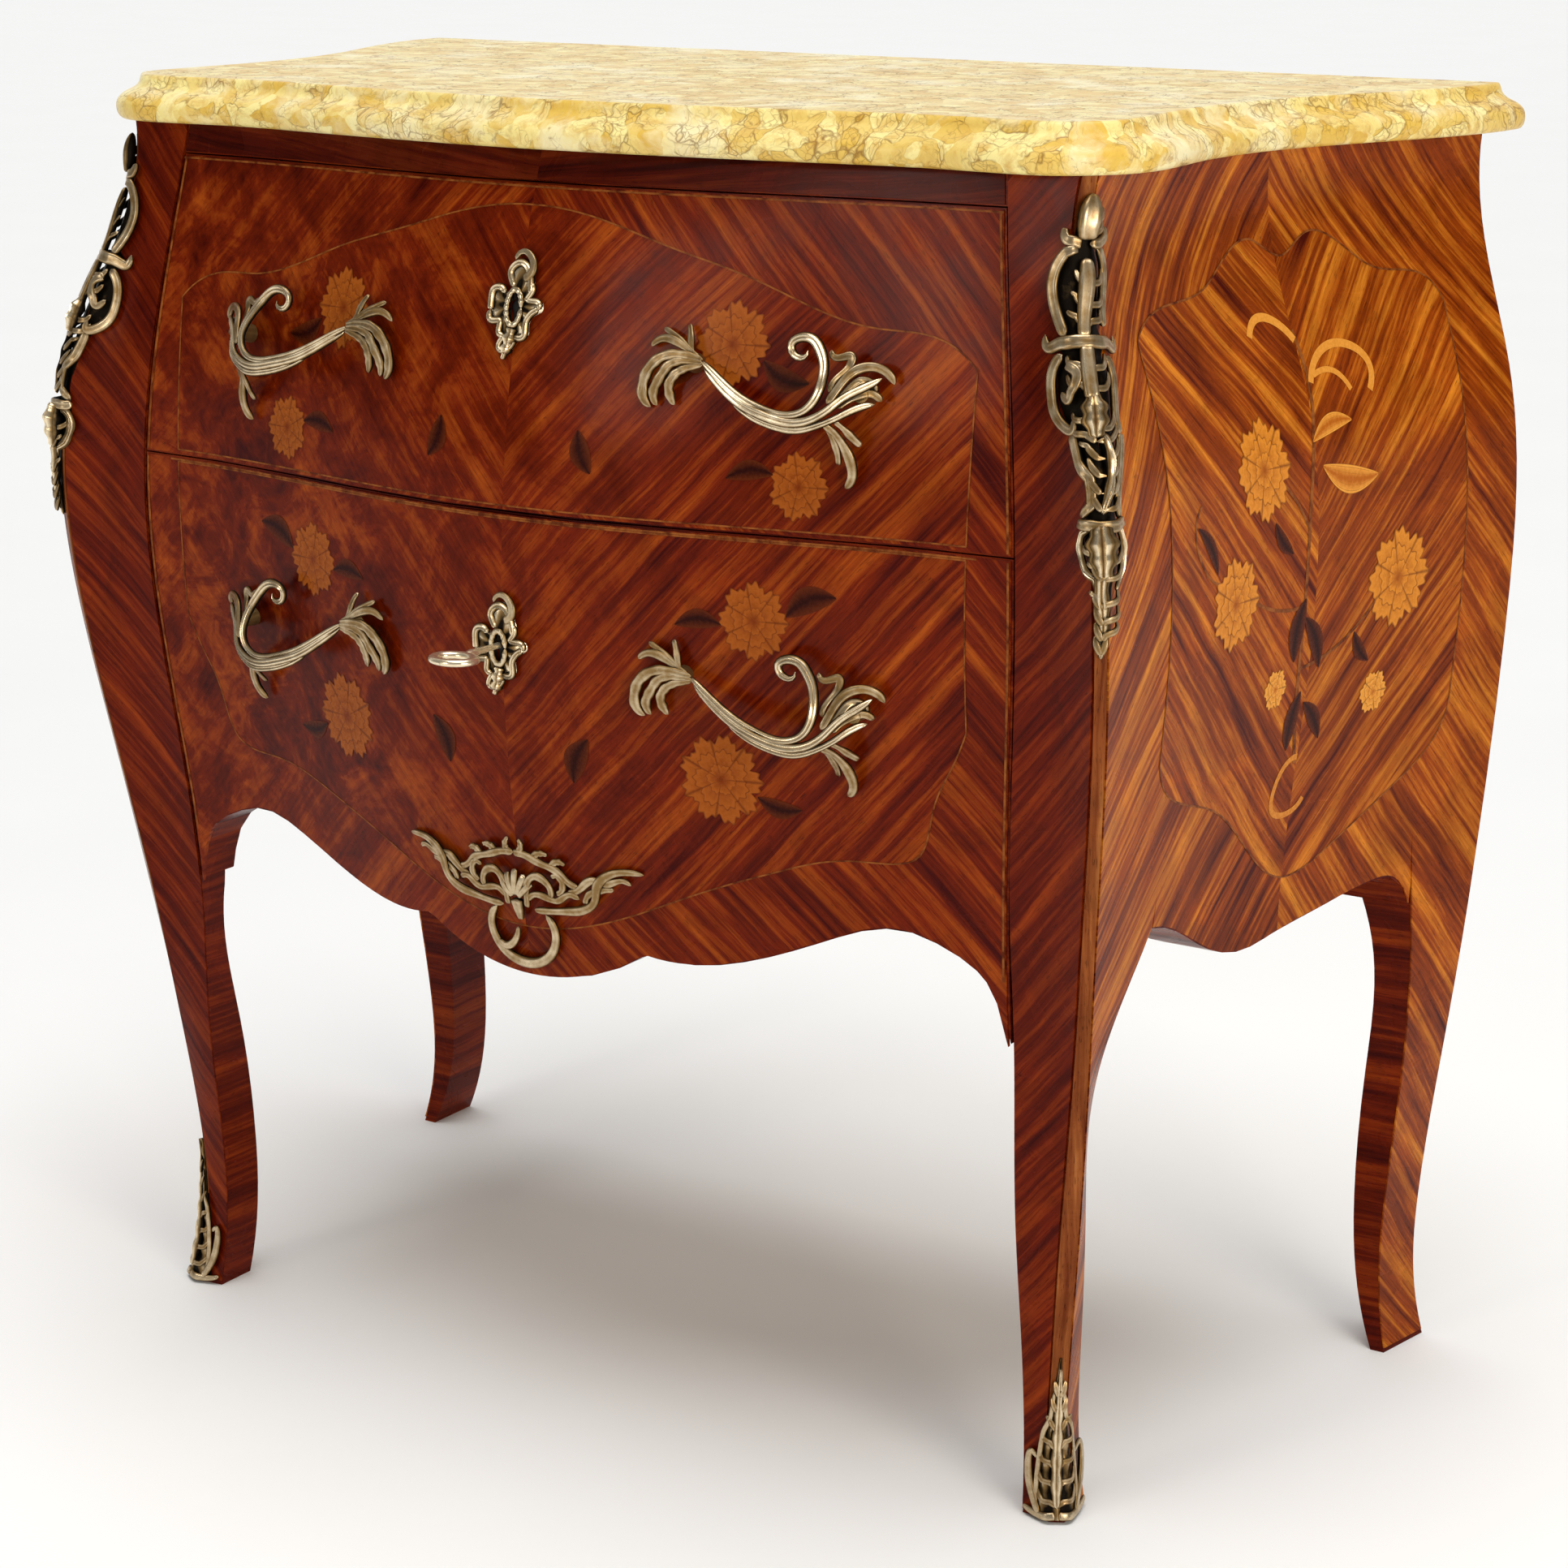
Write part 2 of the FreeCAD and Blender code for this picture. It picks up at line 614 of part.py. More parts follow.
def carcass():
    """Posts, panels, rails, runners and boards of the wooden case."""
    far = back_swell_half + overrun
    cutter = side_apron_cutter()
    post = front_leg().cut(cutter)
    post = post.cut(block(0, far, -overrun, post_rear_depth, side_foot, case_height + overrun))
    back_post = back_leg().cut(cutter)
    back_post = back_post.cut(block(0, far, back_post_depth, front_reach, side_foot, case_height + overrun))
    side = side_panel().cut(cutter)
    posts = [post, mirrored(post)]
    back_posts = [back_post, mirrored(back_post)]

    rail_front = front_inner_depth - rail_gap
    rail_rear = post_rear_depth
    middle_low = divider_height - rail_thickness / 2
    bottom_low = bottom_rail_bottom
    wide = edge_swell_half + overrun
    top_rail = slice_of(front_blank(rail_rear, reach=overrun), drawer_top + drawer_gap, case_height)
    middle_rail = block(-wide, wide, rail_rear, rail_front, middle_low, middle_low + rail_thickness)
    bottom_rail = block(-wide, wide, rail_rear, rail_front, bottom_low, bottom_low + rail_thickness)
    top_rail, middle_rail, bottom_rail = [rail.cut(posts[0]).cut(posts[1])
                                          for rail in (top_rail, middle_rail, bottom_rail)]
    top_rail = top_rail.cut(bolt_space(drawer_top + drawer_gap, mortise_depth))
    middle_rail = middle_rail.cut(bolt_space(middle_low, mortise_depth))

    back_lows = {"top": case_height - back_rail_height,
                 "middle": divider_height - back_rail_height / 2, "bottom": bottom_low}
    back_rails = {}
    for name, low in back_lows.items():
        rail = block(-far, far, 0, back_rail_thickness, low, low + back_rail_height)
        rail = rail.common(block(-back_post_half - overrun, back_post_half + overrun, 0, back_rail_thickness,
                                 low, low + back_rail_height))
        back_rails[name] = rail.cut(back_posts[0]).cut(back_posts[1])
    panels = {}
    for name, low, high in (("upper", back_lows["middle"], back_lows["top"]),
                            ("lower", back_lows["bottom"], back_lows["middle"])):
        low = low + back_rail_height
        panel = back_board(low, high, 0)
        room = back_board(low, high, tongue_clearance)
        back_posts = [piece.cut(room) for piece in back_posts]
        back_rails = {key: rail.cut(room) for key, rail in back_rails.items()}
        panels[name] = panel

    guide_at = drawer_half + drawer_gap
    inner = drawer_half - runner_ledge
    outer = guide_at + guide_width + runner_shoulder
    runners = {}
    boards = {}
    for name, low in (("upper", middle_low), ("lower", bottom_low)):
        board_low = low + (rail_thickness - dust_board_thickness) / 2
        reach = inner + tongue
        boards[name] = block(-reach, reach, back_rail_thickness, rail_rear, board_low,
                             board_low + dust_board_thickness)
        room = block(-reach - tongue_clearance, reach + tongue_clearance, 0, rail_rear + overrun,
                     board_low - tongue_clearance, board_low + dust_board_thickness + tongue_clearance)
        runner = block(inner, outer, back_rail_thickness, rail_rear, low, low + rail_thickness)
        guide = block(guide_at, guide_at + guide_width, back_post_depth, rail_rear,
                      low + rail_thickness, low + rail_thickness + guide_height)
        runners[name] = runner.cut(room), guide
    kicker = block(inner, outer, back_rail_thickness, rail_rear, drawer_top + drawer_gap, case_height)

    pieces = {"top_front_rail": top_rail, "middle_front_rail": middle_rail, "bottom_front_rail": bottom_rail}
    pieces.update(("back_rail_" + name, rail) for name, rail in back_rails.items())
    pieces.update(("back_panel_" + name, panel) for name, panel in panels.items())
    pieces.update(("dust_board_" + name, board) for name, board in boards.items())
    pieces.update(pair("front_leg", post))
    pieces["back_leg_right"], pieces["back_leg_left"] = back_posts
    pieces.update(pair("side_panel", side))
    pieces.update(pair("top_side_rail", kicker))
    for name, (runner, guide) in runners.items():
        pieces.update(pair("runner_" + name, runner))
        pieces.update(pair("guide_" + name, guide))
    return pieces


def pair(name, right):
    return {name + "_right": right, name + "_left": mirrored(right)}


def back_board(low, high, grow):
    reach = back_post_half + tongue + grow
    return block(-reach, reach, back_panel_inset - grow, back_panel_inset + back_panel_thickness + grow,
                 low - tongue - grow, high + tongue + grow)


def bolt_space(low, height):
    """Slot for a lock bolt, above the lock case."""
    half = bolt_half_width + bolt_clearance
    middle = front_inner_depth - lock_thickness / 2
    thick = bolt_thickness / 2 + bolt_clearance
    return block(-half, half, middle - thick, middle + thick, low - overrun, low + height)


def keyhole(key_height):
    """Round hole with a slot below it, right through the drawer front."""
    depths = (front_inner_depth - lock_thickness / 2, front_reach)
    hole = rod(key_hole_radius, 0, key_height, *depths)
    slot = block(-key_slot_width / 2, key_slot_width / 2, *depths, key_height - key_slot_drop, key_height)
    return hole.fuse(slot)


def lock(key_height, rail_low):
    """Rim lock on the inside of a drawer front: a hollow case and the bolt that rises out of it."""
    low = key_height - lock_below_key
    high = rail_low - lock_top_gap
    rear = front_inner_depth - lock_thickness
    case = block(-lock_half_width, lock_half_width, rear, front_inner_depth, low, high)
    hollow = block(-lock_half_width + lock_wall, lock_half_width - lock_wall, rear + lock_wall,
                   front_inner_depth - lock_wall, low + lock_wall, high - lock_wall)
    case = case.cut(hollow).cut(bolt_space(high, overrun)).cut(keyhole(key_height))
    middle = front_inner_depth - lock_thickness / 2
    bolt = block(-bolt_half_width, bolt_half_width, middle - bolt_thickness / 2, middle + bolt_thickness / 2,
                 key_height + bolt_lift_gap, high)
    return case, bolt


def key():
    """Lower drawer's key: shank, bit, collar and an oval ring bow lying level."""
    tip = front_inner_depth - lock_thickness + lock_wall + key_end_gap
    bow_middle = front_reach - key_bow_length / 2
    shank = rod(key_radius, 0, lower_key_height, tip, front_reach - key_bow_length + key_bow_wall)
    bit = block(0, key_bit_drop, tip, tip + key_bit_length, lower_key_height - key_bit_thickness / 2,
                lower_key_height + key_bit_thickness / 2)
    collar_at = front_reach - key_bow_length - key_collar_length
    collar = square_bar(key_collar_half, 0, lower_key_height, collar_at, collar_at + key_collar_length)
    ring = oval(bow_middle, key_bow_half_width, key_bow_length / 2)
    ring = ring.cut(oval(bow_middle, key_bow_half_width - key_bow_wall, key_bow_length / 2 - key_bow_wall))
    return shank.fuse([bit, collar, ring]).removeSplitter()


def oval(depth, half_width, half_length):
    """Level oval plate of the key's bow, centred on the shank."""
    turns = [2 * math.pi * k / key_bow_flats for k in range(key_bow_flats)]
    z = lower_key_height - key_bow_thickness / 2
    points = [spot(half_width * math.cos(t), depth + half_length * math.sin(t), z) for t in turns]
    return Part.Face(Part.makePolygon(points + points[:1])).extrude(Vector(0, 0, key_bow_thickness))


def strand(points, radii):
    """Tapering strand of a casting: flat facets between many-sided rings that stand square to its path."""
    places = spacing(points)
    path = through(points, places)
    turns = [2 * math.pi * k / strand_sides for k in range(strand_sides)]
    rings = []
    for place, radius in zip(places, radii):
        along = path.tangent(place)[0]
        across = along.cross(Vector(0, 1, 0)).normalize()
        proud = across.cross(along)
        rings.append([path.value(place) + across * (radius * math.cos(turn)) + proud * (radius * math.sin(turn))
                      for turn in turns])
    return facetted(rings)


def handle(height, blank):
    """Right-hand pull: ribbed shell, double bar, scroll and leaves, in one casting with two bolt bosses."""
    def place(u, v, w):
        x = handle_centre_half + u * handle_width
        z = height + v * handle_height
        return spot(x, front_depth(x, z) + w * handle_projection, z)

    strands = []
    for rows in handle_strand_shares:
        strands.append(strand([place(*row[:3]) for row in rows], [row[3] * handle_bar_radius for row in rows]))
    for u, v, w in handle_boss_shares:
        middle = place(u, v, 0)
        depth = origin_depth - middle.y
        strands.append(square_bar(handle_boss_half_width, middle.x, middle.z, depth - overrun,
                                  depth + w * handle_projection))
    return strands[0].fuse(strands[1:]).cut(blank)


def handle_bolts(height):
    """Bolt places of a pair of handles, as (x, depth of the front there, z)."""
    places = []
    for u, v, w in handle_boss_shares:
        x = handle_centre_half + u * handle_width
        z = height + v * handle_height
        places += [(side * x, front_depth(x, z), z) for side in (1, -1)]
    return places


def bolts_and_nuts(places):
    """Square bolts through a drawer front into the handles' bosses, with square nuts inside."""
    solids = []
    for x, depth, z in places:
        nut = square_bar(handle_nut_half_width, x, z, front_inner_depth - handle_nut_thickness, front_inner_depth)
        shank = square_bar(handle_bolt_half_width, x, z, front_inner_depth, depth + handle_bolt_grip)
        solids.append(nut.fuse(shank))
    return Part.makeCompound(solids)


def bolt_holes(places):
    half = handle_bolt_half_width + handle_bolt_clearance
    holes = [square_bar(half, x, z, front_inner_depth - overrun, depth + handle_bolt_grip + handle_bolt_clearance)
             for x, depth, z in places]
    return holes[0].fuse(holes[1:])


def drawer(name, front, floor, key_height, rail_low, handle_height_middle, blank):
    """One drawer: shaped front, two sides, back, bottom, lock, escutcheon and a pair of handles."""
    low = floor + runner_clearance
    high = rail_low - drawer_side_drop
    rear = drawer_rear_depth
    inner = drawer_half - drawer_side_thickness
    bottom_low = low + drawer_bottom_rise
    reach = inner + groove_depth
    bottom = block(-reach, reach, rear, front_inner_depth + groove_depth, bottom_low,
                   bottom_low + drawer_bottom_thickness)
    room = block(-reach - tongue_clearance, reach + tongue_clearance, rear - overrun,
                 front_inner_depth + groove_depth + tongue_clearance, bottom_low - tongue_clearance,
                 bottom_low + drawer_bottom_thickness + tongue_clearance)
    side = block(inner, drawer_half, rear, front_inner_depth, low, high).cut(room)
    back = block(-inner, inner, rear, rear + drawer_back_thickness,
                 bottom_low + drawer_bottom_thickness, high)
    case, bolt = lock(key_height, rail_low)
    places = handle_bolts(handle_height_middle)
    holes = bolt_holes(places)
    pull = handle(handle_height_middle, blank).cut(holes)
    shield = [(share[0] * escutcheon_half_width, key_height + share[1] * escutcheon_half_height)
              for share in escutcheon_shares]
    plate = conforming(front_outline(shield), cast_front_lines, case_station_shares, escutcheon_thickness,
                       key_height - escutcheon_half_height, key_height + escutcheon_half_height, flat_cast_stations)
    pieces = {"front": front.cut(room).cut(holes).cut(keyhole(key_height)), "back": back, "bottom": bottom}
    pieces.update(pair("side", side))
    pieces.update(pair("handle", pull))
    pieces["handle_bolts"] = bolts_and_nuts(places)
    pieces["lock_case"] = case
    pieces["lock_bolt"] = bolt
    pieces["escutcheon"] = plate.cut(keyhole(key_height))
    return {"drawer_" + name + "_" + key_name: piece for key_name, piece in pieces.items()}


def corner_pieces():
    """Pierced corner mount and sabot of the right front leg."""
    height = corner_mount_top - corner_mount_bottom

    def place(share):
        return share[0] * corner_mount_half_width, corner_mount_bottom + share[1] * height

    outline = corner_outline([place(share) for share in corner_mount_shares])
    for across, up, half_across, half_up in corner_hole_shares:
        hole = [place((across + half_across * math.cos(t), up + half_up * math.sin(t))) for t in hole_turns]
        outline = outline.cut(corner_outline(hole))
    mount = conforming(outline, front_leg_lines, leg_station_shares, plate_thickness, corner_mount_bottom,
                       corner_mount_top, corner_cast_stations)
    shoe = corner_outline([(share[0] * sabot_half_width, share[1] * sabot_height) for share in sabot_shares])
    sabot = conforming(shoe, front_leg_lines, leg_station_shares, sabot_thickness, 0, sabot_height,
                       corner_cast_stations)
    return mount, sabot


def apron_mount():
    """Winged shell on the lower drawer's apron, pierced beside the shell, with an open ring below."""
    def place(share):
        return share[0] * apron_mount_half_width, apron_mount_bottom + share[1] * apron_mount_height

    def hole(across, up, half_across, half_up):
        return front_outline([place((across + half_across * math.cos(t), up + half_up * math.sin(t)))
                              for t in hole_turns])

    right = [place(share) for share in apron_mount_shares]
    left = [(-x, z) for x, z in reversed(right[1:-1])]
    outline = front_outline(right + left).cut(hole(0, apron_ring_shares[2], *apron_ring_shares[:2]))
    across, up, half_across, half_up = apron_gap_shares
    for side in (1, -1):
        outline = outline.cut(hole(side * across, up, half_across, half_up))
    return conforming(outline, cast_front_lines, case_station_shares, plate_thickness, apron_mount_bottom,
                      apron_mount_bottom + apron_mount_shares[1][1] * apron_mount_height, flat_cast_stations)


def build():
    blank = front_blank(front_inner_depth)
    lower_front = slice_of(blank, 0, divider_height).cut(apron_cutter())
    upper_front = slice_of(blank, divider_height + drawer_gap, drawer_top)
    middle_low = divider_height - rail_thickness / 2
    pieces = carcass()
    pieces["marble_top"] = marble()
    pieces.update(drawer("upper", upper_front, middle_low + rail_thickness, upper_key_height,
                         drawer_top + drawer_gap, upper_handle_height, blank))
    pieces.update(drawer("lower", lower_front, bottom_rail_bottom + rail_thickness, lower_key_height, middle_low,
                         lower_handle_height, blank))
    pieces["lower_key"] = key()
    pieces["apron_mount"] = apron_mount()
    mount, sabot = corner_pieces()
    pieces.update(pair("corner_mount", mount))
    pieces.update(pair("sabot", sabot))
    return pieces


os.makedirs("parts", exist_ok=True)
for piece_name, piece in build().items():
    piece.exportStep(os.path.join("parts", piece_name + ".step"))
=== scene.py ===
import math
import bpy
import numpy as np
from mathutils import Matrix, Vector


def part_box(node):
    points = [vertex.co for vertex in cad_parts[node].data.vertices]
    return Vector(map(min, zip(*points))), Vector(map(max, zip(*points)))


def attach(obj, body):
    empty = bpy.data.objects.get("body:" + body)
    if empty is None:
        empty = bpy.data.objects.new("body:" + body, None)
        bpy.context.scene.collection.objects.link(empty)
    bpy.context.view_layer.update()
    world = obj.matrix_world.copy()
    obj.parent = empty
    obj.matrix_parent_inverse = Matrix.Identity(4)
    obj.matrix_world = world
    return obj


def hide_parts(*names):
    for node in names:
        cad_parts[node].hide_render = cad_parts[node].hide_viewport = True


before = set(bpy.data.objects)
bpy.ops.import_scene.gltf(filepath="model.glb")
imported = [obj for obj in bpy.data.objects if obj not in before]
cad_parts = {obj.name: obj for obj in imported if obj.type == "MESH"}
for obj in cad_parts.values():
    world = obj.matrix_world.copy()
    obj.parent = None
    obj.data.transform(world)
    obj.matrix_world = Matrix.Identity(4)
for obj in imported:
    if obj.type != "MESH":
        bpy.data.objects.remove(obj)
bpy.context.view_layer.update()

# Lines of the swelled case in metres: (narrow, full, shares at the heights); depths run from the back
case_height = 0.831
origin_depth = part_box("back_leg_right")[1].y
height_shares = np.array((0, 0.06, 0.12, 0.24, 0.36, 0.48, 0.6, 0.67, 0.74, 0.8, 0.86, 0.92, 1))
lines = {
    "ridge_half": (0.352, 0.402, (0.14, 0, 0.02, 0.2, 0.44, 0.68, 0.9, 1, 0.97, 0.84, 0.57, 0.28, 0.22)),
    "ridge_depth": (0.387, 0.449, (0.2, 0.03, 0, 0.12, 0.34, 0.59, 0.84, 0.95, 1, 0.92, 0.71, 0.42, 0.2)),
    "edge_half": (0.310, 0.334, (0.85, 0.72, 0.66, 0.62, 0.58, 0.62, 0.92, 1, 1, 0.83, 0.55, 0.29, -0.08)),
    "edge_depth": (0.400, 0.430, (-0.2, -0.4, -0.35, 0, 0.1, 0.47, 0.86, 0.97, 1, 0.87, 0.63, 0.4, 0)),
    "centre_depth": (0.425, 0.477, (0.3, 0.3, 0.3, 0.3, 0.45, 0.78, 0.97, 1, 0.92, 0.82, 0.65, 0.42, 0.02)),
    "back_half": (0.420, 0.466, (0.2, 0, 0.02, 0.26, 0.54, 0.76, 0.93, 0.98, 1, 0.87, 0.61, 0.33, 0.22)),
    "leg_rear": (0.335, 0.380, (0.62, 0.46, 0.47, 0.76, 1, 0, 0, 0, 0, 0, 0, 0, 0)),
    "back_front": (0.065, 0.042, (0.8, 1, 1, 0.8, 0.45, 0, 0, 0, 0, 0, 0, 0, 0)),
    "tuck": (0, 0.010, (0.8, 1, 1, 1, 0.6, 0, 0, 0, 0, 0, 0, 0, 0)),
    "hollow": (0, 0.024, (0, 0, 0, 0, 0.5, 1, 1, 1, 1, 1, 1, 1, 1)),
}
leg_stations = case_height * np.array((0, 0.05, 0.13, 0.24, 0.36, 0.41, 0.46, 0.62, 0.72, 0.82, 0.91, 1))
case_stations = case_height * np.array((0.34, 0.46, 0.62, 0.72, 0.82, 0.91, 1))
ridge_facet = 0.007
drawer_gap = 0.001
side_depths = (-0.01, 0.449)
normal_step = 0.0006

# Veneers lie this far above the wood, and stop this far inside its edges
veneer_lift = 0.0012
inlay_lift = 0.0014
rim_fold = 0.0012
ground_fold = 0.0005
top_inset = 0.0006
edge_inset = 0.001


# Surfaces of the case, by vectorised formulas over arrays of places

def spline_weights(places, at):
    """Weights of a cubic spline: value(at) = weights @ values(places).

    Hermite pieces with slopes m from h1 m0 + 2 (h0 + h1) m1 + h0 m2 = 3 (h1 d0 + h0 d1).
    The end slopes are those of the cubic through the last four places.
    """
    places = np.asarray(places, float)
    count = len(places)
    steps = np.diff(places)
    left = np.zeros((count, count))
    right = np.zeros((count, count))
    for k in range(1, count - 1):
        left[k, k - 1:k + 2] = steps[k], 2 * (steps[k - 1] + steps[k]), steps[k - 1]
        right[k, k - 1] = -3 * steps[k] / steps[k - 1]
        right[k, k + 1] = 3 * steps[k - 1] / steps[k]
        right[k, k] = -right[k, k - 1] - right[k, k + 1]
    for end, near in ((0, np.arange(min(4, count))), (count - 1, np.arange(max(0, count - 4), count))):
        left[end, end] = 1
        powers = np.vander(places[near] - places[end], increasing=True)
        right[end, near] = np.linalg.inv(powers)[1]
    slopes = np.linalg.solve(left, right)
    at = np.asarray(at, float)
    k = np.clip(np.searchsorted(places, at, side="right") - 1, 0, count - 2)
    t = ((at - places[k]) / steps[k])[:, None]
    rows = np.eye(count)
    weights = rows[k] * (1 + 2 * t) * (1 - t) ** 2 + rows[k + 1] * t * t * (3 - 2 * t)
    return weights + steps[k][:, None] * (slopes[k] * t * (1 - t) ** 2 - slopes[k + 1] * t * t * (1 - t))


def resampled(rows, count, closed=False):
    """A path drawn out to count rows by a cubic spline over the spacing of its first two columns."""
    rows = np.asarray(rows, float)
    if closed:
        rows = np.concatenate([rows[-3:], rows, rows[:4]])
    gaps = np.hypot(*np.diff(rows[:, :2], axis=0).T)
    places = np.concatenate([[0], np.cumsum(np.maximum(gaps, 1e-6))])
    first, last = (places[3], places[-4]) if closed else (0, places[-1])
    return spline_weights(places, np.linspace(first, last, count)) @ rows


def line(name, z):
    """One line of the case: a cubic through its table that never passes beyond the neighbouring values."""
    low, high, shares = lines[name]
    values = low + (high - low) * np.asarray(shares)
    steps = np.diff(height_shares)
    slopes = np.diff(values) / steps
    product = slopes[:-1] * slopes[1:]
    total = slopes[:-1] + slopes[1:]
    middle = np.where(product > 0, 2 * product / np.where(total == 0, 1, total), 0)
    lean = np.concatenate([slopes[:1], middle, slopes[-1:]])
    share = np.asarray(z) / case_height
    k = np.clip(np.searchsorted(height_shares, share, side="right") - 1, 0, len(steps) - 1)
    t = (share - height_shares[k]) / steps[k]
    rise = values[k] * (1 + 2 * t) * (1 - t) ** 2 + values[k + 1] * t * t * (3 - 2 * t)
    return rise + steps[k] * (lean[k] * t * (1 - t) ** 2 - lean[k + 1] * t * t * (1 - t))


def front_depth(x, z):
    """Raised cosine between the drawer edges, then a square-law cove out to the corner ridge."""
    edge, depth = line("edge_half", z), line("edge_depth", z)
    across = np.abs(x) / edge
    out = np.maximum(np.abs(x) - edge, 0) / (line("ridge_half", z) - edge)
    wave = depth + (line("centre_depth", z) - depth) * (1 + np.cos(np.pi * np.minimum(across, 1))) / 2
    return wave + (line("ridge_depth", z) - depth) * out * out


def side_half(depth, z):
    """Straight flare from the ridge to the back, hollowed by a parabola."""
    back = 1 - depth / line("ridge_depth", z)
    flare = line("ridge_half", z) + (line("back_half", z) - line("ridge_half", z)) * back
    return flare - line("hollow", z) * 4 * back * (1 - back)


def flat_arrays(*values):
    arrays = np.broadcast_arrays(*[np.asarray(value, float) for value in values])
    return arrays[0].shape, [array.ravel() for array in arrays]


def spots(x, depth, z, shape):
    return np.stack([x, origin_depth - depth, z], -1).reshape(shape + (3,))


def edge_at(z):
    shape, (z,) = flat_arrays(z)
    return (spline_weights(case_stations, z) @ line("edge_half", case_stations)).reshape(shape)


def on_front(x, z):
    """Point of the serpentine front at x and z; each upright line is a spline through the stations."""
    shape, (x, z) = flat_arrays(x, z)
    weights = spline_weights(case_stations, z)
    edges = line("edge_half", case_stations)
    share = x / (weights @ edges)
    depth = (weights * front_depth(share[:, None] * edges, case_stations)).sum(1)
    return spots(x, depth, z, shape)


def on_side(y, z):
    """Point of the right side at y and z."""
    shape, (y, z) = flat_arrays(y, z)
    depth = origin_depth - y
    weights = spline_weights(case_stations, z)
    half = (weights * side_half(np.clip(depth, *side_depths)[:, None], case_stations)).sum(1)
    return spots(half, depth, z, shape)


def on_leg(turn, z):
    """Point of the right front post: turn 0 to 1 is the cove, to 2 the ridge facet, to 3 the side."""
    shape, (turn, z) = flat_arrays(turn, z)
    at = leg_stations
    inner, ridge = line("edge_half", at) + drawer_gap, line("ridge_half", at) - ridge_facet
    start, rear = line("ridge_depth", at) - ridge_facet, line("leg_rear", at)
    front, facet, back = [np.clip(turn - k, 0, 1)[:, None] for k in range(3)]
    x_front = inner + (ridge - inner) * front
    d_side = start + (rear - start) * back
    d_front = front_depth(x_front, at)
    x_side = side_half(d_side, at) - back * line("tuck", at)
    x = x_front + (x_side - x_front) * facet
    depth = d_front + (d_side - d_front) * facet
    weights = spline_weights(at, z)
    return spots((weights * x).sum(1), (weights * depth).sum(1), z, shape)


def on_back_leg(share, z):
    """Point of the right back leg's outer side: share 0 at its front edge, 1 at the flat back."""
    shape, (share, z) = flat_arrays(share, z)
    depth = line("back_front", leg_stations) * (1 - share[:, None])
    weights = spline_weights(leg_stations, z)
    half = (weights * side_half(depth, leg_stations)).sum(1)
    return spots(half, (weights * depth).sum(1), z, shape)


sideways = np.array((0.823, 0.568, 0.0))


def on_corner(across, z):
    """Point of the right front post at a distance sideways from its ridge, seen square to the corner."""
    shape, (across, z) = flat_arrays(across, z)
    turns = np.linspace(0, 3, 61)
    ring = on_leg(turns[None, :], z[:, None])
    reach = ring @ sideways
    reach = reach - reach[:, len(turns) // 2, None]
    k = np.clip((reach < across[:, None]).sum(1) - 1, 0, len(turns) - 2)
    rows = np.arange(len(k))
    share = (across - reach[rows, k]) / (reach[rows, k + 1] - reach[rows, k])
    return on_leg(turns[k] + np.clip(share, 0, 1) * (turns[1] - turns[0]), z).reshape(shape + (3,))


def normals(surface, across, up):
    along = surface(across + normal_step, up) - surface(across - normal_step, up)
    rise = surface(across, up + normal_step) - surface(across, up - normal_step)
    normal = np.cross(along, rise)
    return normal / np.linalg.norm(normal, axis=-1, keepdims=True)


def raised(surface, across, up, height):
    """Point of a surface lifted along its normal: P + height N."""
    across, up, height = np.broadcast_arrays(across, up, height)
    return surface(across, up) + normals(surface, across, up) * height[..., None]


# Meshes from grids

def piece(name, sheets, material, body, nodes=()):
    """One mesh from sheets of (points, map, relief): grids of rows by columns."""
    points, faces, maps, relief = [], [], [], []
    start = 0
    for spot, uv, shade in sheets:
        rows, columns = spot.shape[:2]
        at = start + np.arange(rows * columns).reshape(rows, columns)
        faces.append(np.stack([at[:-1, :-1], at[:-1, 1:], at[1:, 1:], at[1:, :-1]], -1).reshape(-1, 4))
        points.append(spot.reshape(-1, 3))
        maps.append(uv.reshape(-1, 2))
        relief.append(shade.ravel())
        start += rows * columns
    faces = np.concatenate(faces)
    mesh = bpy.data.meshes.new(name)
    mesh.from_pydata(np.concatenate(points).tolist(), [], faces.tolist())
    mesh.uv_layers.new(name="map").data.foreach_set("uv", np.concatenate(maps)[faces.ravel()].ravel())
    # Shade of each vertex: painted light and shade on the brass, with its patina in the hollows
    mesh.attributes.new("relief", "FLOAT", "POINT").data.foreach_set("value", np.concatenate(relief))
    mesh.shade_smooth()
    mesh.set_sharp_from_angle(angle=0.9)
    mesh.materials.append(material)
    obj = bpy.data.objects.new(name, mesh)
    bpy.context.scene.collection.objects.link(obj)
    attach(obj, body)
    if nodes:
        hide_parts(*nodes)
    return obj


def mirror(sheets):
    """The same sheets on the left: x becomes -x, and columns turn round so that faces stay outward."""
    flip = np.array((-1.0, 1, 1))
    return [((spot * flip)[:, ::-1], uv[:, ::-1], shade[:, ::-1]) for spot, uv, shade in sheets]


def blank(points, shade=1.0):
    """Sheet without a map, in one shade."""
    return points, np.zeros(points.shape[:2] + (2,)), np.full(points.shape[:2], shade)


def folded(surface, across, up, height, fold):
    """Grid P + height N whose rim is folded into the wood: P - fold N."""
    points = np.pad(raised(surface, across, up, -fold), ((1, 1), (1, 1), (0, 0)), "edge")
    points[1:-1, 1:-1] = raised(surface, across, up, height)
    return points


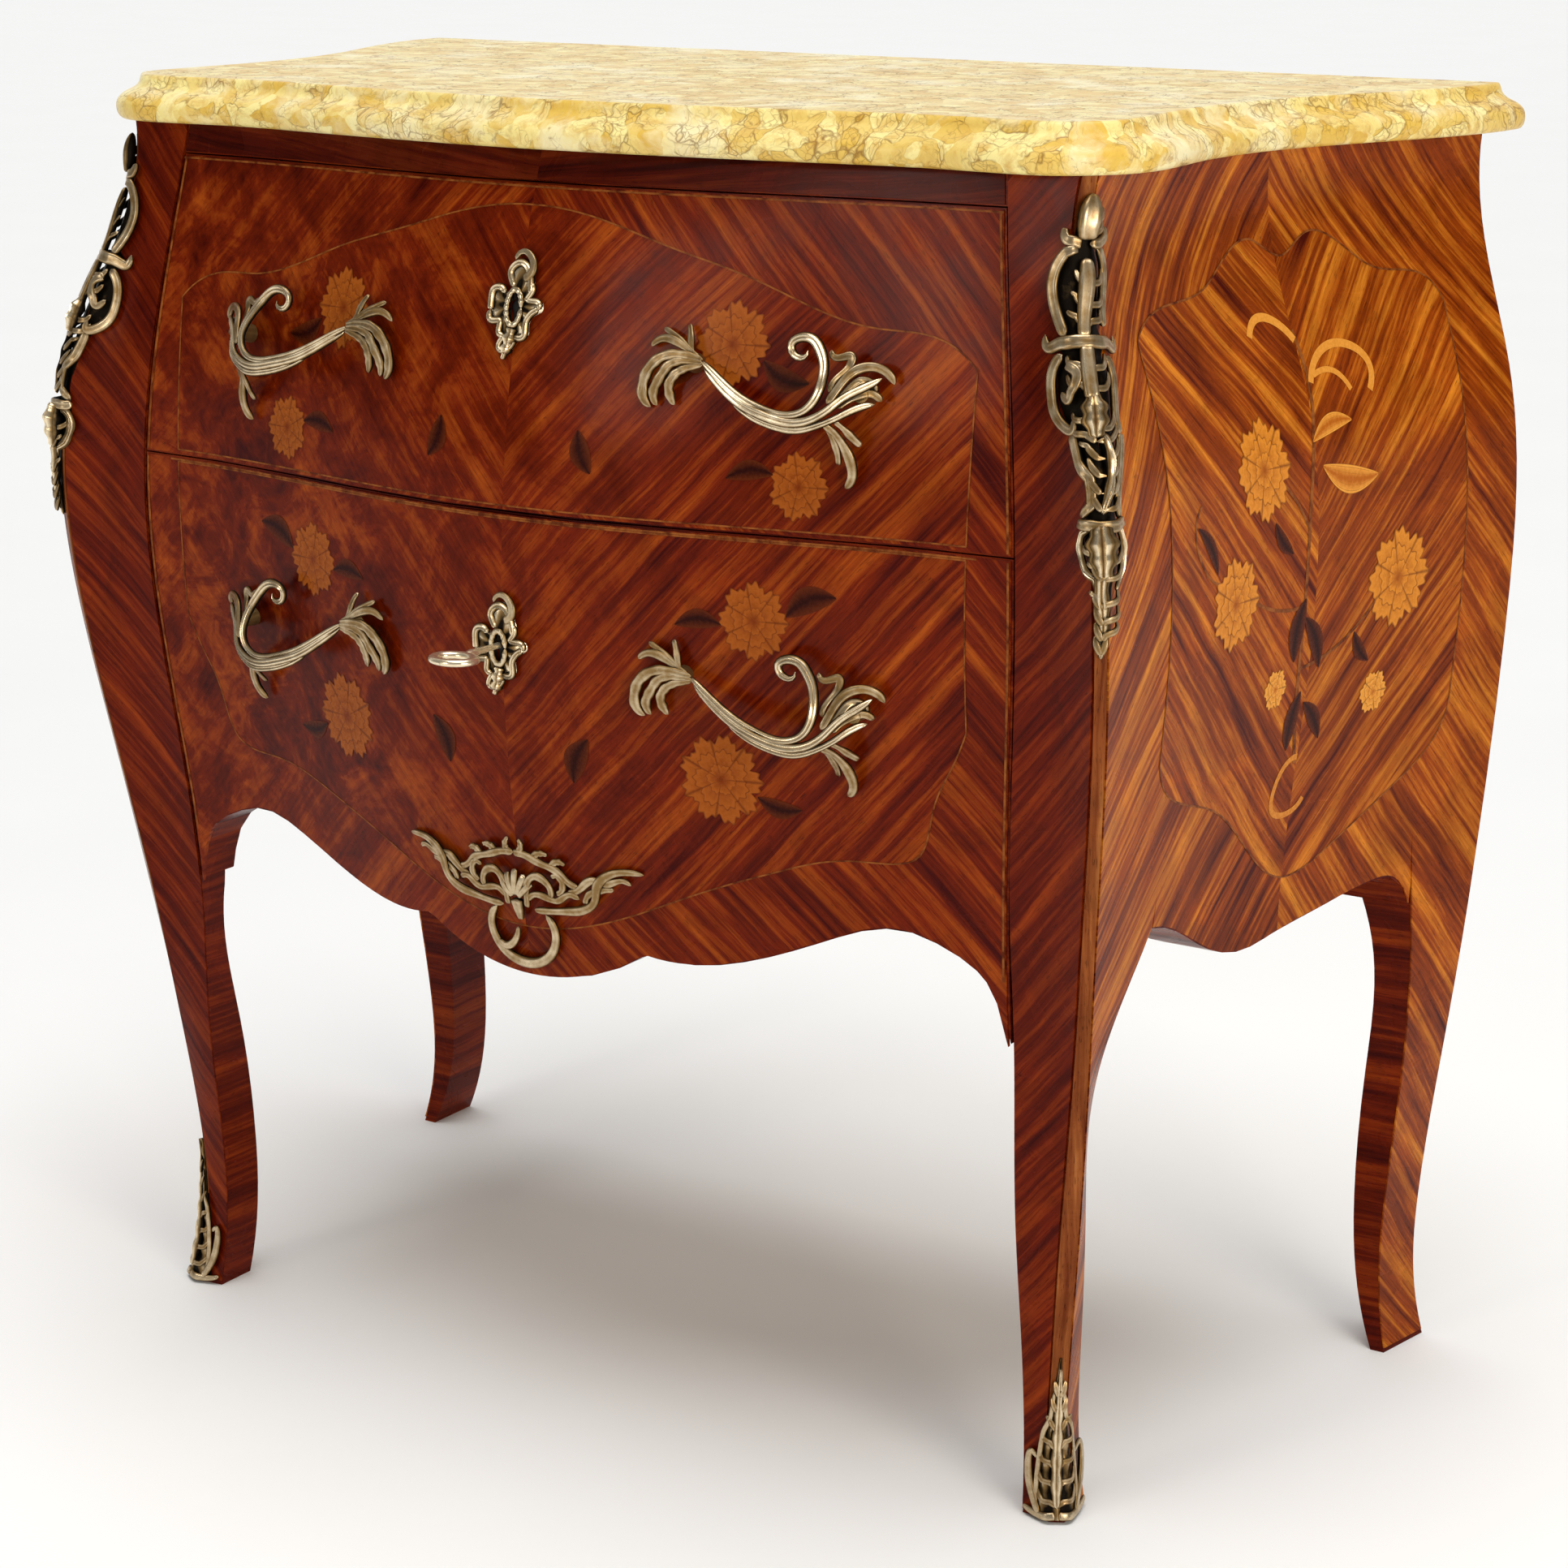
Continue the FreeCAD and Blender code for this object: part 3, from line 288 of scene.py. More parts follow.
def skin(surface, across, up, axis, lift=veneer_lift):
    """Veneer P + lift N over a grid, with a folded rim; mapped in metres along one axis and upwards."""
    across, up = np.broadcast_arrays(across, up)
    points = folded(surface, across, up, lift, rim_fold)
    uv = np.pad(points[1:-1, 1:-1][..., (axis, 2)], ((1, 1), (1, 1), (0, 0)), "edge")
    return points, uv, np.ones(points.shape[:2])


def between_edges(low, high, across, rows):
    """Grid heights from a lower to an upper edge at each column: z = low + v (high - low)."""
    v = np.linspace(0, 1, rows)[:, None]
    return low + v * (high - low) + 0 * across


def edge_line(points, at):
    """Height of a shaped edge drawn by a spline through (across, height) points."""
    dense = resampled(points, 400)
    order = np.argsort(dense[:, 0])
    return np.interp(at, dense[order, 0], dense[order, 1])


def tube(centre, outward, width, flat=0.85, ribs=1, groove=0.3, sides=14):
    """Sweep of a ribbed section along a path.

    With c = cos t, s = sin t the section is width (c, flat s (1 - groove r)) above the path, where
    r = (1 + cos(ribs pi c)) / 2, and width (c, 0.6 s) below it.
    """
    along = np.gradient(centre, axis=0)
    along /= np.linalg.norm(along, axis=1, keepdims=True) + 1e-12
    side = np.cross(along, outward)
    side /= np.linalg.norm(side, axis=1, keepdims=True) + 1e-12
    top = np.cross(side, along)
    turn = -np.pi / 2 - np.linspace(0, 2 * np.pi, sides + 1)
    c, s = np.cos(turn), np.sin(turn)
    rib = 0.5 + 0.5 * np.cos(ribs * np.pi * c)
    high = np.where(s > 0, flat * s * (1 - groove * rib), 0.6 * s)
    ring = side[:, None] * c[:, None] + top[:, None] * high[:, None]
    points = centre[:, None] + ring * width[:, None, None]
    place = np.linspace(0, 1, len(centre))[:, None] + 0 * c
    # Painted light and shade: bright on the top of the section, dark down its flanks and underneath, and
    # darker in the grooves as patina and painted shade
    shade = np.clip(0.04 + s - groove * rib * (s > 0), 0, 1) + 0 * place
    return points, np.stack([place, 0 * place + np.linspace(0, 1, sides + 1)], -1), shade


def strand(surface, path, count=26, lobes=0, lobe=0.25, **section):
    """Cast strand over a surface from rows of (across, up, height, half width), with rounded, tapered ends.

    The half width is w (1 + lobe cos(2 pi lobes s)) times a quarter ellipse over the first and last parts.
    """
    rows = resampled(path, count)
    s = np.linspace(0, 1, count)
    end = np.clip(np.minimum(s, 1 - s) / 0.08, 0, 1)
    width = np.maximum(rows[:, 3], 0.0004) * (0.08 + 0.92 * np.sqrt(1 - (1 - end) ** 2))
    width = width * (1 + lobe * np.cos(2 * np.pi * lobes * s)) if lobes else width
    outward = normals(surface, rows[:, 0], rows[:, 1])
    return tube(surface(rows[:, 0], rows[:, 1]) + outward * rows[:, 2:3], outward, width, **section)


def stud(surface, x, z, low, high, radius, sides=12):
    """Upright boss on a surface: circles of the radius from one height to another, closed by a point."""
    turn = np.linspace(0, 2 * np.pi, sides + 1)[None, :]
    height = np.array((low, (low + high) / 2, high, high))[:, None]
    size = radius * np.array((1, 0.9, 0.8, 0.01))[:, None]
    points = raised(surface, x + size * np.cos(turn), z + size * np.sin(turn), height)
    return blank(points, 0.5)


def ring_plate(surface, centre, inner, outer, dome, low, rows=14, waves=0, wave=0.0):
    """Plate between two outlines r(t), with height dome (1 - v^4) + low + 4 wave cos(waves t) v (1 - v)."""
    turn = np.linspace(0, 2 * np.pi, 121)
    v = np.linspace(0, 1, rows)[:, None]
    reach = inner(turn) * (1 - v) + outer(turn) * v
    height = low + dome * (1 - v ** 4) + wave * np.cos(waves * turn) * v * (1 - v) * 4
    height[-1] = 0
    points = raised(surface, centre[0] + reach * np.cos(turn), centre[1] + reach * np.sin(turn), height)
    # Painted shade: dark round the keyhole and in the hollows of the waves, bright towards the rim
    shade = np.clip(1.5 * v - 0.4 + 0.25 * np.cos(waves * turn), 0, 1)
    return points, np.stack([turn / (2 * np.pi) + 0 * v, v + 0 * turn], -1), shade


def star(points):
    """Outline r(t) around its centre from corner points."""
    dense = resampled(points, 160, closed=True)
    angle = np.arctan2(dense[:, 1], dense[:, 0])
    order = np.argsort(angle)
    radius = np.hypot(dense[:, 0], dense[:, 1])
    return lambda turn: np.interp(turn, angle[order], radius[order], period=2 * np.pi)


# Materials

def tint(red, green, blue):
    """Colour from eight-bit display values."""
    return tuple((value / 255) ** 2.2 for value in (red, green, blue)) + (1.0,)


class Net:
    """Short names for adding nodes to one shader tree and joining them."""

    def __init__(self, tree):
        self.tree = tree

    def add(self, kind, inputs=None, **settings):
        node = self.tree.nodes.new(kind)
        for name, value in settings.items():
            setattr(node, name, value)
        for key, value in (inputs or {}).items():
            if isinstance(value, bpy.types.NodeSocket):
                self.tree.links.new(value, node.inputs[key])
            else:
                node.inputs[key].default_value = value
        return node

    def maths(self, operation, *values):
        return self.add("ShaderNodeMath", dict(enumerate(values)), operation=operation).outputs[0]

    def times(self, first, second):
        return self.maths("MULTIPLY", first, second)

    def plus(self, first, second):
        return self.maths("ADD", first, second)

    def minus(self, first, second):
        return self.maths("SUBTRACT", first, second)

    def vectors(self, operation, first, second):
        return self.add("ShaderNodeVectorMath", {0: first, 1: second}, operation=operation).outputs[0]

    def mix(self, factor, first, second, blend="MIX"):
        values = {0: factor, 6: first, 7: second}
        return self.add("ShaderNodeMix", values, data_type="RGBA", blend_type=blend).outputs[2]

    def between(self, value, low, high, to_low=0.0, to_high=1.0):
        values = {0: value, 1: low, 2: high, 3: to_low, 4: to_high}
        return self.add("ShaderNodeMapRange", values).outputs[0]

    def vector(self, x, y, z):
        return self.add("ShaderNodeCombineXYZ", {0: x, 1: y, 2: z}).outputs[0]

    def noise(self, vector, scale, detail=3.0, roughness=0.55, distortion=0.0):
        values = {"Vector": vector, "Scale": scale, "Detail": detail, "Roughness": roughness,
                  "Distortion": distortion}
        return self.add("ShaderNodeTexNoise", values).outputs["Fac"]

    def split(self, vector):
        return self.add("ShaderNodeSeparateXYZ", {0: vector}).outputs

    def use(self, group, inputs):
        return self.add("ShaderNodeGroup", inputs, node_tree=group).outputs


def group(name, inputs, outputs, build):
    """Node group: build(net, inputs by name) returns the outputs by name."""
    tree = bpy.data.node_groups.new(name, "ShaderNodeTree")
    for label, kind in inputs.items():
        tree.interface.new_socket(label, in_out="INPUT", socket_type="NodeSocket" + kind)
    for label, kind in outputs.items():
        tree.interface.new_socket(label, in_out="OUTPUT", socket_type="NodeSocket" + kind)
    net = Net(tree)
    given = net.add("NodeGroupInput").outputs
    made = build(net, given)
    end = net.add("NodeGroupOutput")
    for label, value in made.items():
        tree.links.new(value, end.inputs[label])
    return tree


def veneer_figure(net, given):
    """Striped rosewood: broad and fine streaks, dark pores, and a mottled figure where asked."""
    across, along, seed = given["Across"], given["Along"], given["Seed"]
    wander = net.noise(net.vector(net.times(along, 6.0), net.times(across, 6.0), seed), 1.0)
    bent = net.plus(across, net.times(wander, 0.012))
    slow = net.times(along, 0.035)
    broad = net.noise(net.vector(bent, slow, seed), 62.0, 2.0, 0.5)
    fine = net.noise(net.vector(bent, slow, net.plus(seed, 3.0)), 260.0, 3.0, 0.6)
    hair = net.noise(net.vector(bent, net.times(along, 0.02), seed), 1100.0, 2.0, 0.6)
    pores = net.noise(net.vector(bent, net.times(along, 0.08), seed), 1700.0, 1.0, 0.5)
    streak = net.plus(net.times(broad, 0.5), net.times(fine, 0.5))
    cloud = net.noise(net.vector(across, along, seed), 15.0, 4.0, 0.62, 1.4)
    curl = net.noise(net.vector(across, along, net.plus(seed, 7.0)), 48.0, 3.0, 0.6, 2.2)
    mottled = net.plus(net.times(cloud, 0.65), net.times(curl, 0.35))
    burl = given["Burl"]
    figure = net.plus(net.times(streak, net.minus(1.0, burl)),
                       net.times(mottled, burl))
    low = net.mix(net.between(figure, 0.36, 0.52), given["Dark"], given["Middle"])
    color = net.mix(net.between(figure, 0.5, 0.66), low, given["Light"])
    color = net.mix(net.between(hair, 0.56, 0.7, 0.0, 0.45), color, given["Dark"])
    shadow = net.mix(net.between(pores, 0.62, 0.72, 0.0, 0.6), color, tint(38, 12, 6))
    tone = net.between(cloud, 0.3, 0.7, 0.78, 1.16)
    toned = net.mix(1.0, shadow, net.vector(tone, tone, tone), "MULTIPLY")
    gloss = net.between(cloud, 0.3, 0.7, 0.2, 0.34)
    height = net.plus(fine, net.times(pores, 0.4))
    return {"Color": toned, "Gloss": gloss, "Height": height}


def aged_brass(net, given):
    """Antiqued gilding by the shade of each place: pale high places as wear and painted highlight, gold
    slopes, and dark greenish brown in the recesses as patina and painted shade.
    """
    specks = net.noise(given["Vector"], 900.0, 4.0, 0.6)
    patches = net.noise(given["Vector"], 120.0, 3.0, 0.55)
    level = net.plus(given["Relief"], net.times(net.minus(patches, 0.5), 0.5))
    color = net.mix(net.between(level, 0.14, 0.48), tint(26, 19, 10), tint(134, 106, 66))
    color = net.mix(net.between(level, 0.54, 0.96), color, tint(240, 222, 188))
    color = net.mix(net.between(specks, 0.6, 0.72, 0.0, 0.5), color, tint(60, 50, 28))
    rough = net.between(level, 0.1, 0.8, 0.62, 0.24)
    return {"Color": color, "Gloss": rough, "Height": net.plus(specks, patches)}


def breccia(net, given):
    """Brecciated yellow marble: angular clasts, brown broken veins and pale crystalline patches."""
    vector = given["Vector"]
    warp = net.add("ShaderNodeTexNoise", {"Vector": vector, "Scale": 26.0, "Detail": 4.0}).outputs["Color"]
    moved = net.vectors("SUBTRACT", warp, (0.5, 0.5, 0.5))
    bent = net.vectors("ADD", vector, net.vectors("MULTIPLY", moved, (0.035, 0.035, 0.035)))

    def cells(scale, feature, output):
        values = {"Vector": bent, "Scale": scale}
        return net.add("ShaderNodeTexVoronoi", values, feature=feature).outputs[output]

    edges = [cells(scale, "DISTANCE_TO_EDGE", "Distance") for scale in (76.0, 190.0)]
    hue = cells(76.0, "F1", "Color")
    cloud = net.noise(bent, 17.0, 6.0, 0.65)
    mottle = net.noise(bent, 95.0, 6.0, 0.7)
    color = net.mix(net.between(net.split(hue)[0], 0.15, 0.85), tint(220, 182, 84), tint(240, 224, 150))
    color = net.mix(net.between(mottle, 0.46, 0.68, 0.0, 0.75), color, tint(206, 160, 74))
    color = net.mix(net.between(cloud, 0.5, 0.66, 0.0, 0.9), color, tint(240, 230, 184))
    vein = net.between(edges[0], 0.0, 0.06, 1.0, 0.0)
    crack = net.between(edges[1], 0.0, 0.07, 0.7, 0.0)
    broken = net.between(net.noise(bent, 48.0, 4.0, 0.6), 0.43, 0.56)
    mask = net.times(net.maths("MAXIMUM", vein, crack), broken)
    color = net.mix(net.times(mask, 0.8), color, tint(122, 82, 36))
    stain = net.between(net.noise(bent, 60.0, 6.0, 0.75, 1.2), 0.58, 0.72, 0.0, 0.75)
    color = net.mix(stain, color, tint(150, 104, 48))
    return {"Color": color, "Gloss": net.between(mask, 0.0, 1.0, 0.3, 0.44), "Height": mask}


def plain_grain(net, given):
    """Plain sawn wood: growth rings as stretched noise, with short dark flecks."""
    rings = net.noise(given["Vector"], 90.0, 3.0, 0.55, 0.4)
    flecks = net.noise(given["Vector"], 520.0, 2.0, 0.6)
    color = net.mix(net.between(rings, 0.35, 0.65), given["Dark"], given["Light"])
    color = net.mix(net.between(flecks, 0.6, 0.72, 0.0, 0.45), color, given["Dark"])
    return {"Color": color, "Gloss": net.between(rings, 0.3, 0.7, 0.62, 0.5), "Height": flecks}


finish = {"Color": "Color", "Gloss": "Float", "Height": "Float"}
shades = {"Dark": "Color", "Middle": "Color", "Light": "Color"}
stripes = {"Across": "Float", "Along": "Float", "Seed": "Float", "Burl": "Float", **shades}
boards = {"Vector": "Vector", "Dark": "Color", "Light": "Color"}
veneer_group = group("veneer_figure", stripes, finish, veneer_figure)
brass_group = group("aged_brass", {"Vector": "Vector", "Relief": "Float"}, finish, aged_brass)
marble_group = group("breccia", {"Vector": "Vector"}, finish, breccia)
grain_group = group("plain_grain", boards, finish, plain_grain)


def surfaced(name, build, metallic=0.0, coat=0.0, bump=0.1, depth=0.0004, shine=0.5):
    """Material whose build(net) returns a group's outputs; the shader and its bump stay in the material."""
    material = bpy.data.materials.new(name)
    material.use_nodes = True
    net = Net(material.node_tree)
    shader = material.node_tree.nodes["Principled BSDF"]
    made = build(net)
    values = {"Base Color": made["Color"], "Roughness": made["Gloss"]}
    if bump:
        lifted = net.add("ShaderNodeBump", {"Strength": bump, "Distance": depth, "Height": made["Height"]})
        values["Normal"] = lifted.outputs[0]
    for label, value in values.items():
        material.node_tree.links.new(value, shader.inputs[label])
    shader.inputs["Metallic"].default_value = metallic
    shader.inputs["Coat Weight"].default_value = coat
    shader.inputs["Coat Roughness"].default_value = 0.12
    shader.inputs["Specular IOR Level"].default_value = shine
    return material


def map_place(net):
    return net.split(net.add("ShaderNodeUVMap", uv_map="map").outputs[0])[:2]


def object_place(net):
    return net.add("ShaderNodeTexCoord").outputs["Object"]


def tints(*colors):
    return [tint(*color) for color in colors]


front_tints = tints((62, 11, 3), (110, 36, 9), (156, 74, 22))
# Painted light: the sides' rosewood is a lighter copy of the front's, for the key lamp that falls on the
# right side
side_tints = tints((70, 18, 4), (144, 64, 13), (208, 126, 38))
post_tints = tints((58, 11, 3), (98, 30, 8), (134, 54, 16))
rail_tints = tints((48, 12, 6), (78, 24, 10), (104, 42, 18))
facet_tints = tints((96, 42, 18), (142, 80, 40), (176, 118, 66))
wood_shine = 0.055


def veneer(name, tints, seed, lean=0.75, middle=0.0, matched=True, burl=None):
    """Veneer with leaning stripes: across = z cos a - |u - middle| sin a, book matched when asked."""
    def build(net):
        u, v = map_place(net)
        out = net.minus(u, middle)
        out = net.maths("ABSOLUTE", out) if matched else out
        across = net.minus(net.times(v, math.cos(lean)),
                           net.times(out, math.sin(lean)))
        along = net.plus(net.times(v, math.sin(lean)), net.times(out, math.cos(lean)))
        half = net.times(net.maths("GREATER_THAN", u, middle), 11.0)
        mottled = net.between(u, burl[0], burl[1], burl[2], 0.0) if burl else 0.0
        return net.use(veneer_group, {"Across": across, "Along": along, "Burl": mottled,
                                      "Seed": net.plus(half, seed) if matched else seed,
                                      **dict(zip(shades, tints))})
    return surfaced(name, build, coat=0.035, bump=0.06, shine=wood_shine)


def cross_grain(name, tints, seed):
    """Veneer or wood with level stripes, by object places."""
    def build(net):
        x, y, z = net.split(object_place(net))
        along = net.plus(x, y)
        return net.use(veneer_group, {"Across": z, "Along": along, "Seed": seed, "Burl": 0.0,
                                      **dict(zip(shades, tints))})
    return surfaced(name, build, coat=0.025, bump=0.06, shine=wood_shine)


def sawn(name, stretch, dark, light):
    def build(net):
        vector = net.vectors("MULTIPLY", object_place(net), stretch)
        return net.use(grain_group, {"Vector": vector, "Dark": dark, "Light": light})
    return surfaced(name, build, bump=0.15)


def brass_build(net):
    relief = net.add("ShaderNodeAttribute", attribute_name="relief").outputs["Fac"]
    return net.use(brass_group, {"Vector": object_place(net), "Relief": relief})


def plain_brass_build(net):
    return net.use(brass_group, {"Vector": object_place(net), "Relief": 0.45})


def iron_build(net):
    place = object_place(net)
    rust = net.noise(place, 160.0, 4.0, 0.6)
    color = net.mix(net.between(rust, 0.45, 0.7), tint(70, 66, 62), tint(96, 62, 42))
    return {"Color": color, "Gloss": net.between(rust, 0.4, 0.7, 0.42, 0.7), "Height": rust}


# Painted shadow: near-black with a faint mottle, for the inside of the keyhole
def keyhole_shadow_build(net):
    place = net.noise(object_place(net), 300.0)
    color = net.mix(place, tint(14, 8, 5), tint(24, 13, 8))
    return {"Color": color, "Gloss": net.between(place, 0.0, 1.0, 0.6, 0.8), "Height": place}


def string_build(net):
    """Pale line of stringing, broken by wear."""
    place = net.noise(object_place(net), 140.0, 3.0)
    color = net.mix(net.between(place, 0.35, 0.62), tint(84, 38, 16), tint(142, 82, 38))
    return {"Color": color, "Gloss": net.between(place, 0.0, 1.0, 0.3, 0.45), "Height": place}


def petal_build(low, high, cuts):
    """Inlaid wood cut as petals: sand-shaded towards the centre, with thin cut lines between petals."""
    def build(net):
        turn, out = map_place(net)
        wave = net.maths("ABSOLUTE", net.maths("SINE", net.times(turn, cuts * math.pi)))
        grain = net.noise(object_place(net), 420.0, 3.0)
        fade = net.plus(out, net.times(grain, 0.5))
        color = net.mix(net.between(fade, 0.35, 1.15), low, high)
        cut = net.between(wave, 0.0, 0.22, 0.7, 0.0)
        color = net.mix(net.times(cut, net.between(out, 0.2, 0.6)), color, tint(84, 34, 12))
        rim = net.between(out, 0.94, 0.99, 0.0, 0.75)
        gloss = net.between(grain, 0.3, 0.7, 0.22, 0.32)
        return {"Color": net.mix(rim, color, tint(88, 36, 14)), "Gloss": gloss, "Height": grain}
    return build


def inlay(name, low, high, cuts):
    """Thin inlaid wood with cut lines, in the polish of the veneers."""
    build = petal_build(tint(*low), tint(*high), cuts)
    return surfaced(name, build, coat=0.03, bump=0.05, shine=wood_shine)


def marble_build(net):
    return net.use(marble_group, {"Vector": object_place(net)})


front_border = veneer("front_border_veneer", front_tints, 2.0, -0.8, burl=(-0.33, 0.02, 0.75))
front_field = veneer("front_field_veneer", front_tints, 5.0, 0.82, burl=(-0.2, 0.14, 0.8))
side_border = veneer("side_border_veneer", side_tints, 9.0, -0.85, 0.066)
side_field = veneer("side_field_veneer", side_tints, 13.0, 0.8, 0.066)
post_wood = veneer("post_veneer_right", post_tints, 21.0, 0.85, matched=False)
rail_veneer = veneer("rail_veneer", rail_tints, 31.0, 0.1)
facet_veneer = veneer("facet_veneer", facet_tints, 27.0, 1.5, matched=False)
cross_veneer = cross_grain("cross_veneer", post_tints, 17.0)
oak = sawn("oak", (8, 0.5, 8), tint(128, 88, 50), tint(176, 132, 82))
oak_wide = sawn("oak_wide", (0.5, 8, 8), tint(122, 84, 48), tint(170, 128, 80))
pine = sawn("pine", (6, 6, 0.5), tint(164, 120, 70), tint(206, 168, 112))
marble = surfaced("breccia_marble", marble_build, coat=0.03, bump=0.02, shine=0.2)
brass = surfaced("aged_brass", brass_build, metallic=0.85, bump=0.12, depth=0.0003)
plain_brass = surfaced("plain_brass", plain_brass_build, metallic=0.85, bump=0.1, depth=0.0003)
iron = surfaced("iron", iron_build, metallic=0.7, bump=0.15)
dark = surfaced("dark", keyhole_shadow_build)
stringing = surfaced("stringing", string_build, coat=0.03, shine=wood_shine)
petal_wood = inlay("petal_wood", (150, 78, 20), (206, 128, 44), 7.0)
bud_wood = inlay("bud_wood", (170, 92, 28), (222, 150, 62), 5.0)
leaf_wood = inlay("leaf_wood", (44, 14, 8), (84, 36, 14), 2.0)
front_petal = inlay("front_petal_wood", (112, 48, 14), (152, 80, 28), 7.0)


# Veneered surfaces

upper_low, upper_high = [corner.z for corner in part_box("drawer_upper_front")]
lower_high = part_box("drawer_lower_front")[1].z
apron_reach = 0.334
apron_rise = np.array((0.31, 0.064))
apron_lobe = [(x * apron_reach, apron_rise[0] + z * apron_rise[1])
              for x, z in ((-0.255, 0.42), (-0.135, 0.11), (0, 0), (0.135, 0.11), (0.255, 0.42))]
scallop = [(x * apron_reach, apron_rise[0] + z * apron_rise[1])
           for x, z in ((0.255, 0.42), (0.345, 0.375), (0.48, 0.52), (0.615, 0.8), (0.74, 1), (0.853, 0.86),
                        (0.934, 0.55), (0.951, 0.36), (0.965, 0.08), (0.978, -0.28))]
side_rise = np.array((0.3357, 0.0415))
side_scallop_shares = (
    (1.1, 0.8), (1.026, 1), (0.91, 0.76), (0.8, 0.27), (0.694, 0), (0.56, 0.1), (0.41, 0.27),
    (0.29, 0.41), (0.235, 0.38), (0.194, 0.1), (0.168, -0.45), (0.16, -0.9)
)
side_scallop = [(origin_depth - d * 0.34, side_rise[0] + z * side_rise[1]) for d, z in side_scallop_shares]
front_top = (
    (0, 0.797), (0.047, 0.792), (0.102, 0.777), (0.156, 0.762), (0.236, 0.738), (0.27, 0.736),
    (0.305, 0.716),
)
front_low = (
    (0, 0.345), (0.06, 0.356), (0.13, 0.386), (0.177, 0.404), (0.224, 0.416), (0.268, 0.424), (0.28, 0.458),
    (0.292, 0.482), (0.305, 0.512),
)
side_top = (
    (-0.1, 0.733), (-0.066, 0.748), (-0.013, 0.754), (0.012, 0.768), (0.044, 0.778), (0.072, 0.766),
    (0.1, 0.778), (0.132, 0.768), (0.158, 0.752), (0.2, 0.744), (0.214, 0.724),
)
side_low = (
    (-0.1, 0.486), (-0.09, 0.468), (-0.025, 0.44), (0.02, 0.407), (0.066, 0.376), (0.115, 0.388),
    (0.165, 0.414), (0.203, 0.442), (0.214, 0.468),
)


def apron_edge(x):
    out = np.abs(x)
    up = np.where(out < apron_lobe[-1][0], edge_line(apron_lobe, out), edge_line(scallop, out))
    return up + edge_inset


def front_sheet(low, high, rows):
    """Veneer of a drawer front, a little inside its edges."""
    share = np.linspace(-1, 1, 97)[None, :]
    up = between_edges(low(share * edge_at(0.36)), high, share, rows)
    return skin(on_front, share * (edge_at(up) - 0.0014), up, 0)


def field(surface, across, low, high, rows, axis):
    """Shaped panel laid in the veneer between two edge lines."""
    across = across[None, :]
    return skin(surface, across, between_edges(low(across), high(across), across, rows), axis, inlay_lift)


def ribbon(surface, path, half, lift=0.0016, count=60):
    """Flat string along a path in the surface: P +- half times the path's own square direction."""
    rows = resampled(path, count)
    step = np.gradient(rows, axis=0)
    square = np.stack([step[:, 1], -step[:, 0]], -1) / (np.hypot(step[:, 0], step[:, 1])[:, None] + 1e-9)
    side = np.array((-1, 0, 1))[None, :]
    across = rows[:, None, 0] + square[:, None, 0] * half * side
    up = rows[:, None, 1] + square[:, None, 1] * half * side
    points = raised(surface, across, up, lift)
    return points, np.stack([across, up], -1), np.ones(points.shape[:2])


def bloom(surface, centre, radius, petals, turned, lift):
    """Ragged flower head with p petals: r = R (0.88 + 0.2 |cos(p t / 2)| + 0.06 cos((3 p + 1) t))."""
    turn = np.linspace(2 * np.pi, 0, 145)[None, :]
    v = np.linspace(0.02, 1, 7)[:, None]
    notch = 0.2 * np.abs(np.cos(petals * (turn + turned) / 2)) + 0.06 * np.cos((3 * petals + 1) * turn)
    reach = v * radius * (0.88 + notch)
    points = raised(surface, centre[0] + reach * np.cos(turn), centre[1] + 1.1 * reach * np.sin(turn), lift)
    return points, np.stack([turn / (2 * np.pi) + 0 * v, v + 0 * turn], -1), np.ones(points.shape[:2])


def blade(surface, start, end, width, bend, lift=0.0017):
    """Leaf between two points: sideways offset bend 4 s (1 - s) + c width sin(pi s)."""
    start, end = np.array(start), np.array(end)
    s = np.linspace(0.01, 0.99, 25)[:, None]
    c = np.linspace(-1, 1, 7)[None, :]
    length = np.linalg.norm(end - start)
    square = np.array((end[1] - start[1], start[0] - end[0])) / length
    off = bend * 4 * s * (1 - s) + c * width * np.sin(np.pi * s) ** 0.8
    across = start[0] + (end[0] - start[0]) * s + square[0] * off
    up = start[1] + (end[1] - start[1]) * s + square[1] * off
    points = raised(surface, across, up, lift)
    return points, np.stack([c * 0.5 + 0 * s, np.abs(c) + 0 * s], -1), np.ones(points.shape[:2])


def flower(surface, centre, radius, petals):
    """Three layers of petals, each smaller than the one below and turned a little."""
    layers = ((1, petals, 0, 0.00165), (0.68, petals - 2, 0.4, 0.00172), (0.36, petals - 3, 0.1, 0.00179))
    return [bloom(surface, centre, radius * size, *layer) for size, *layer in layers]


def outlined(surface, across, low, high, half):
    """Stringing round a field: its lower and upper edge lines and its two upright ends."""
    bottom = np.stack([across, low(across)], -1)
    top = np.stack([across, high(across)], -1)
    strips = [ribbon(surface, bottom, half, count=160), ribbon(surface, top, half, count=160)]
    for k in (0, -1):
        strips.append(ribbon(surface, np.linspace(bottom[k], top[k], 8), half, count=40))
    return strips


def level(z):
    return lambda across: z + 0 * across


def shaped(points, even=False):
    """Edge line through points, the same on both sides of the middle when even."""
    return lambda across: edge_line(points, np.abs(across) if even else across)


rail_low, rail_high = [corner.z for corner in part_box("top_front_rail")]
front_across = np.linspace(-0.303, 0.303, 121)
side_across = np.linspace(-0.0995, 0.2135, 81)
side_grid = np.linspace(origin_depth - 0.34, origin_depth - 0.0602, 49)[None, :]
leg_rise = np.linspace(0.003, case_height - top_inset, 150)[:, None]
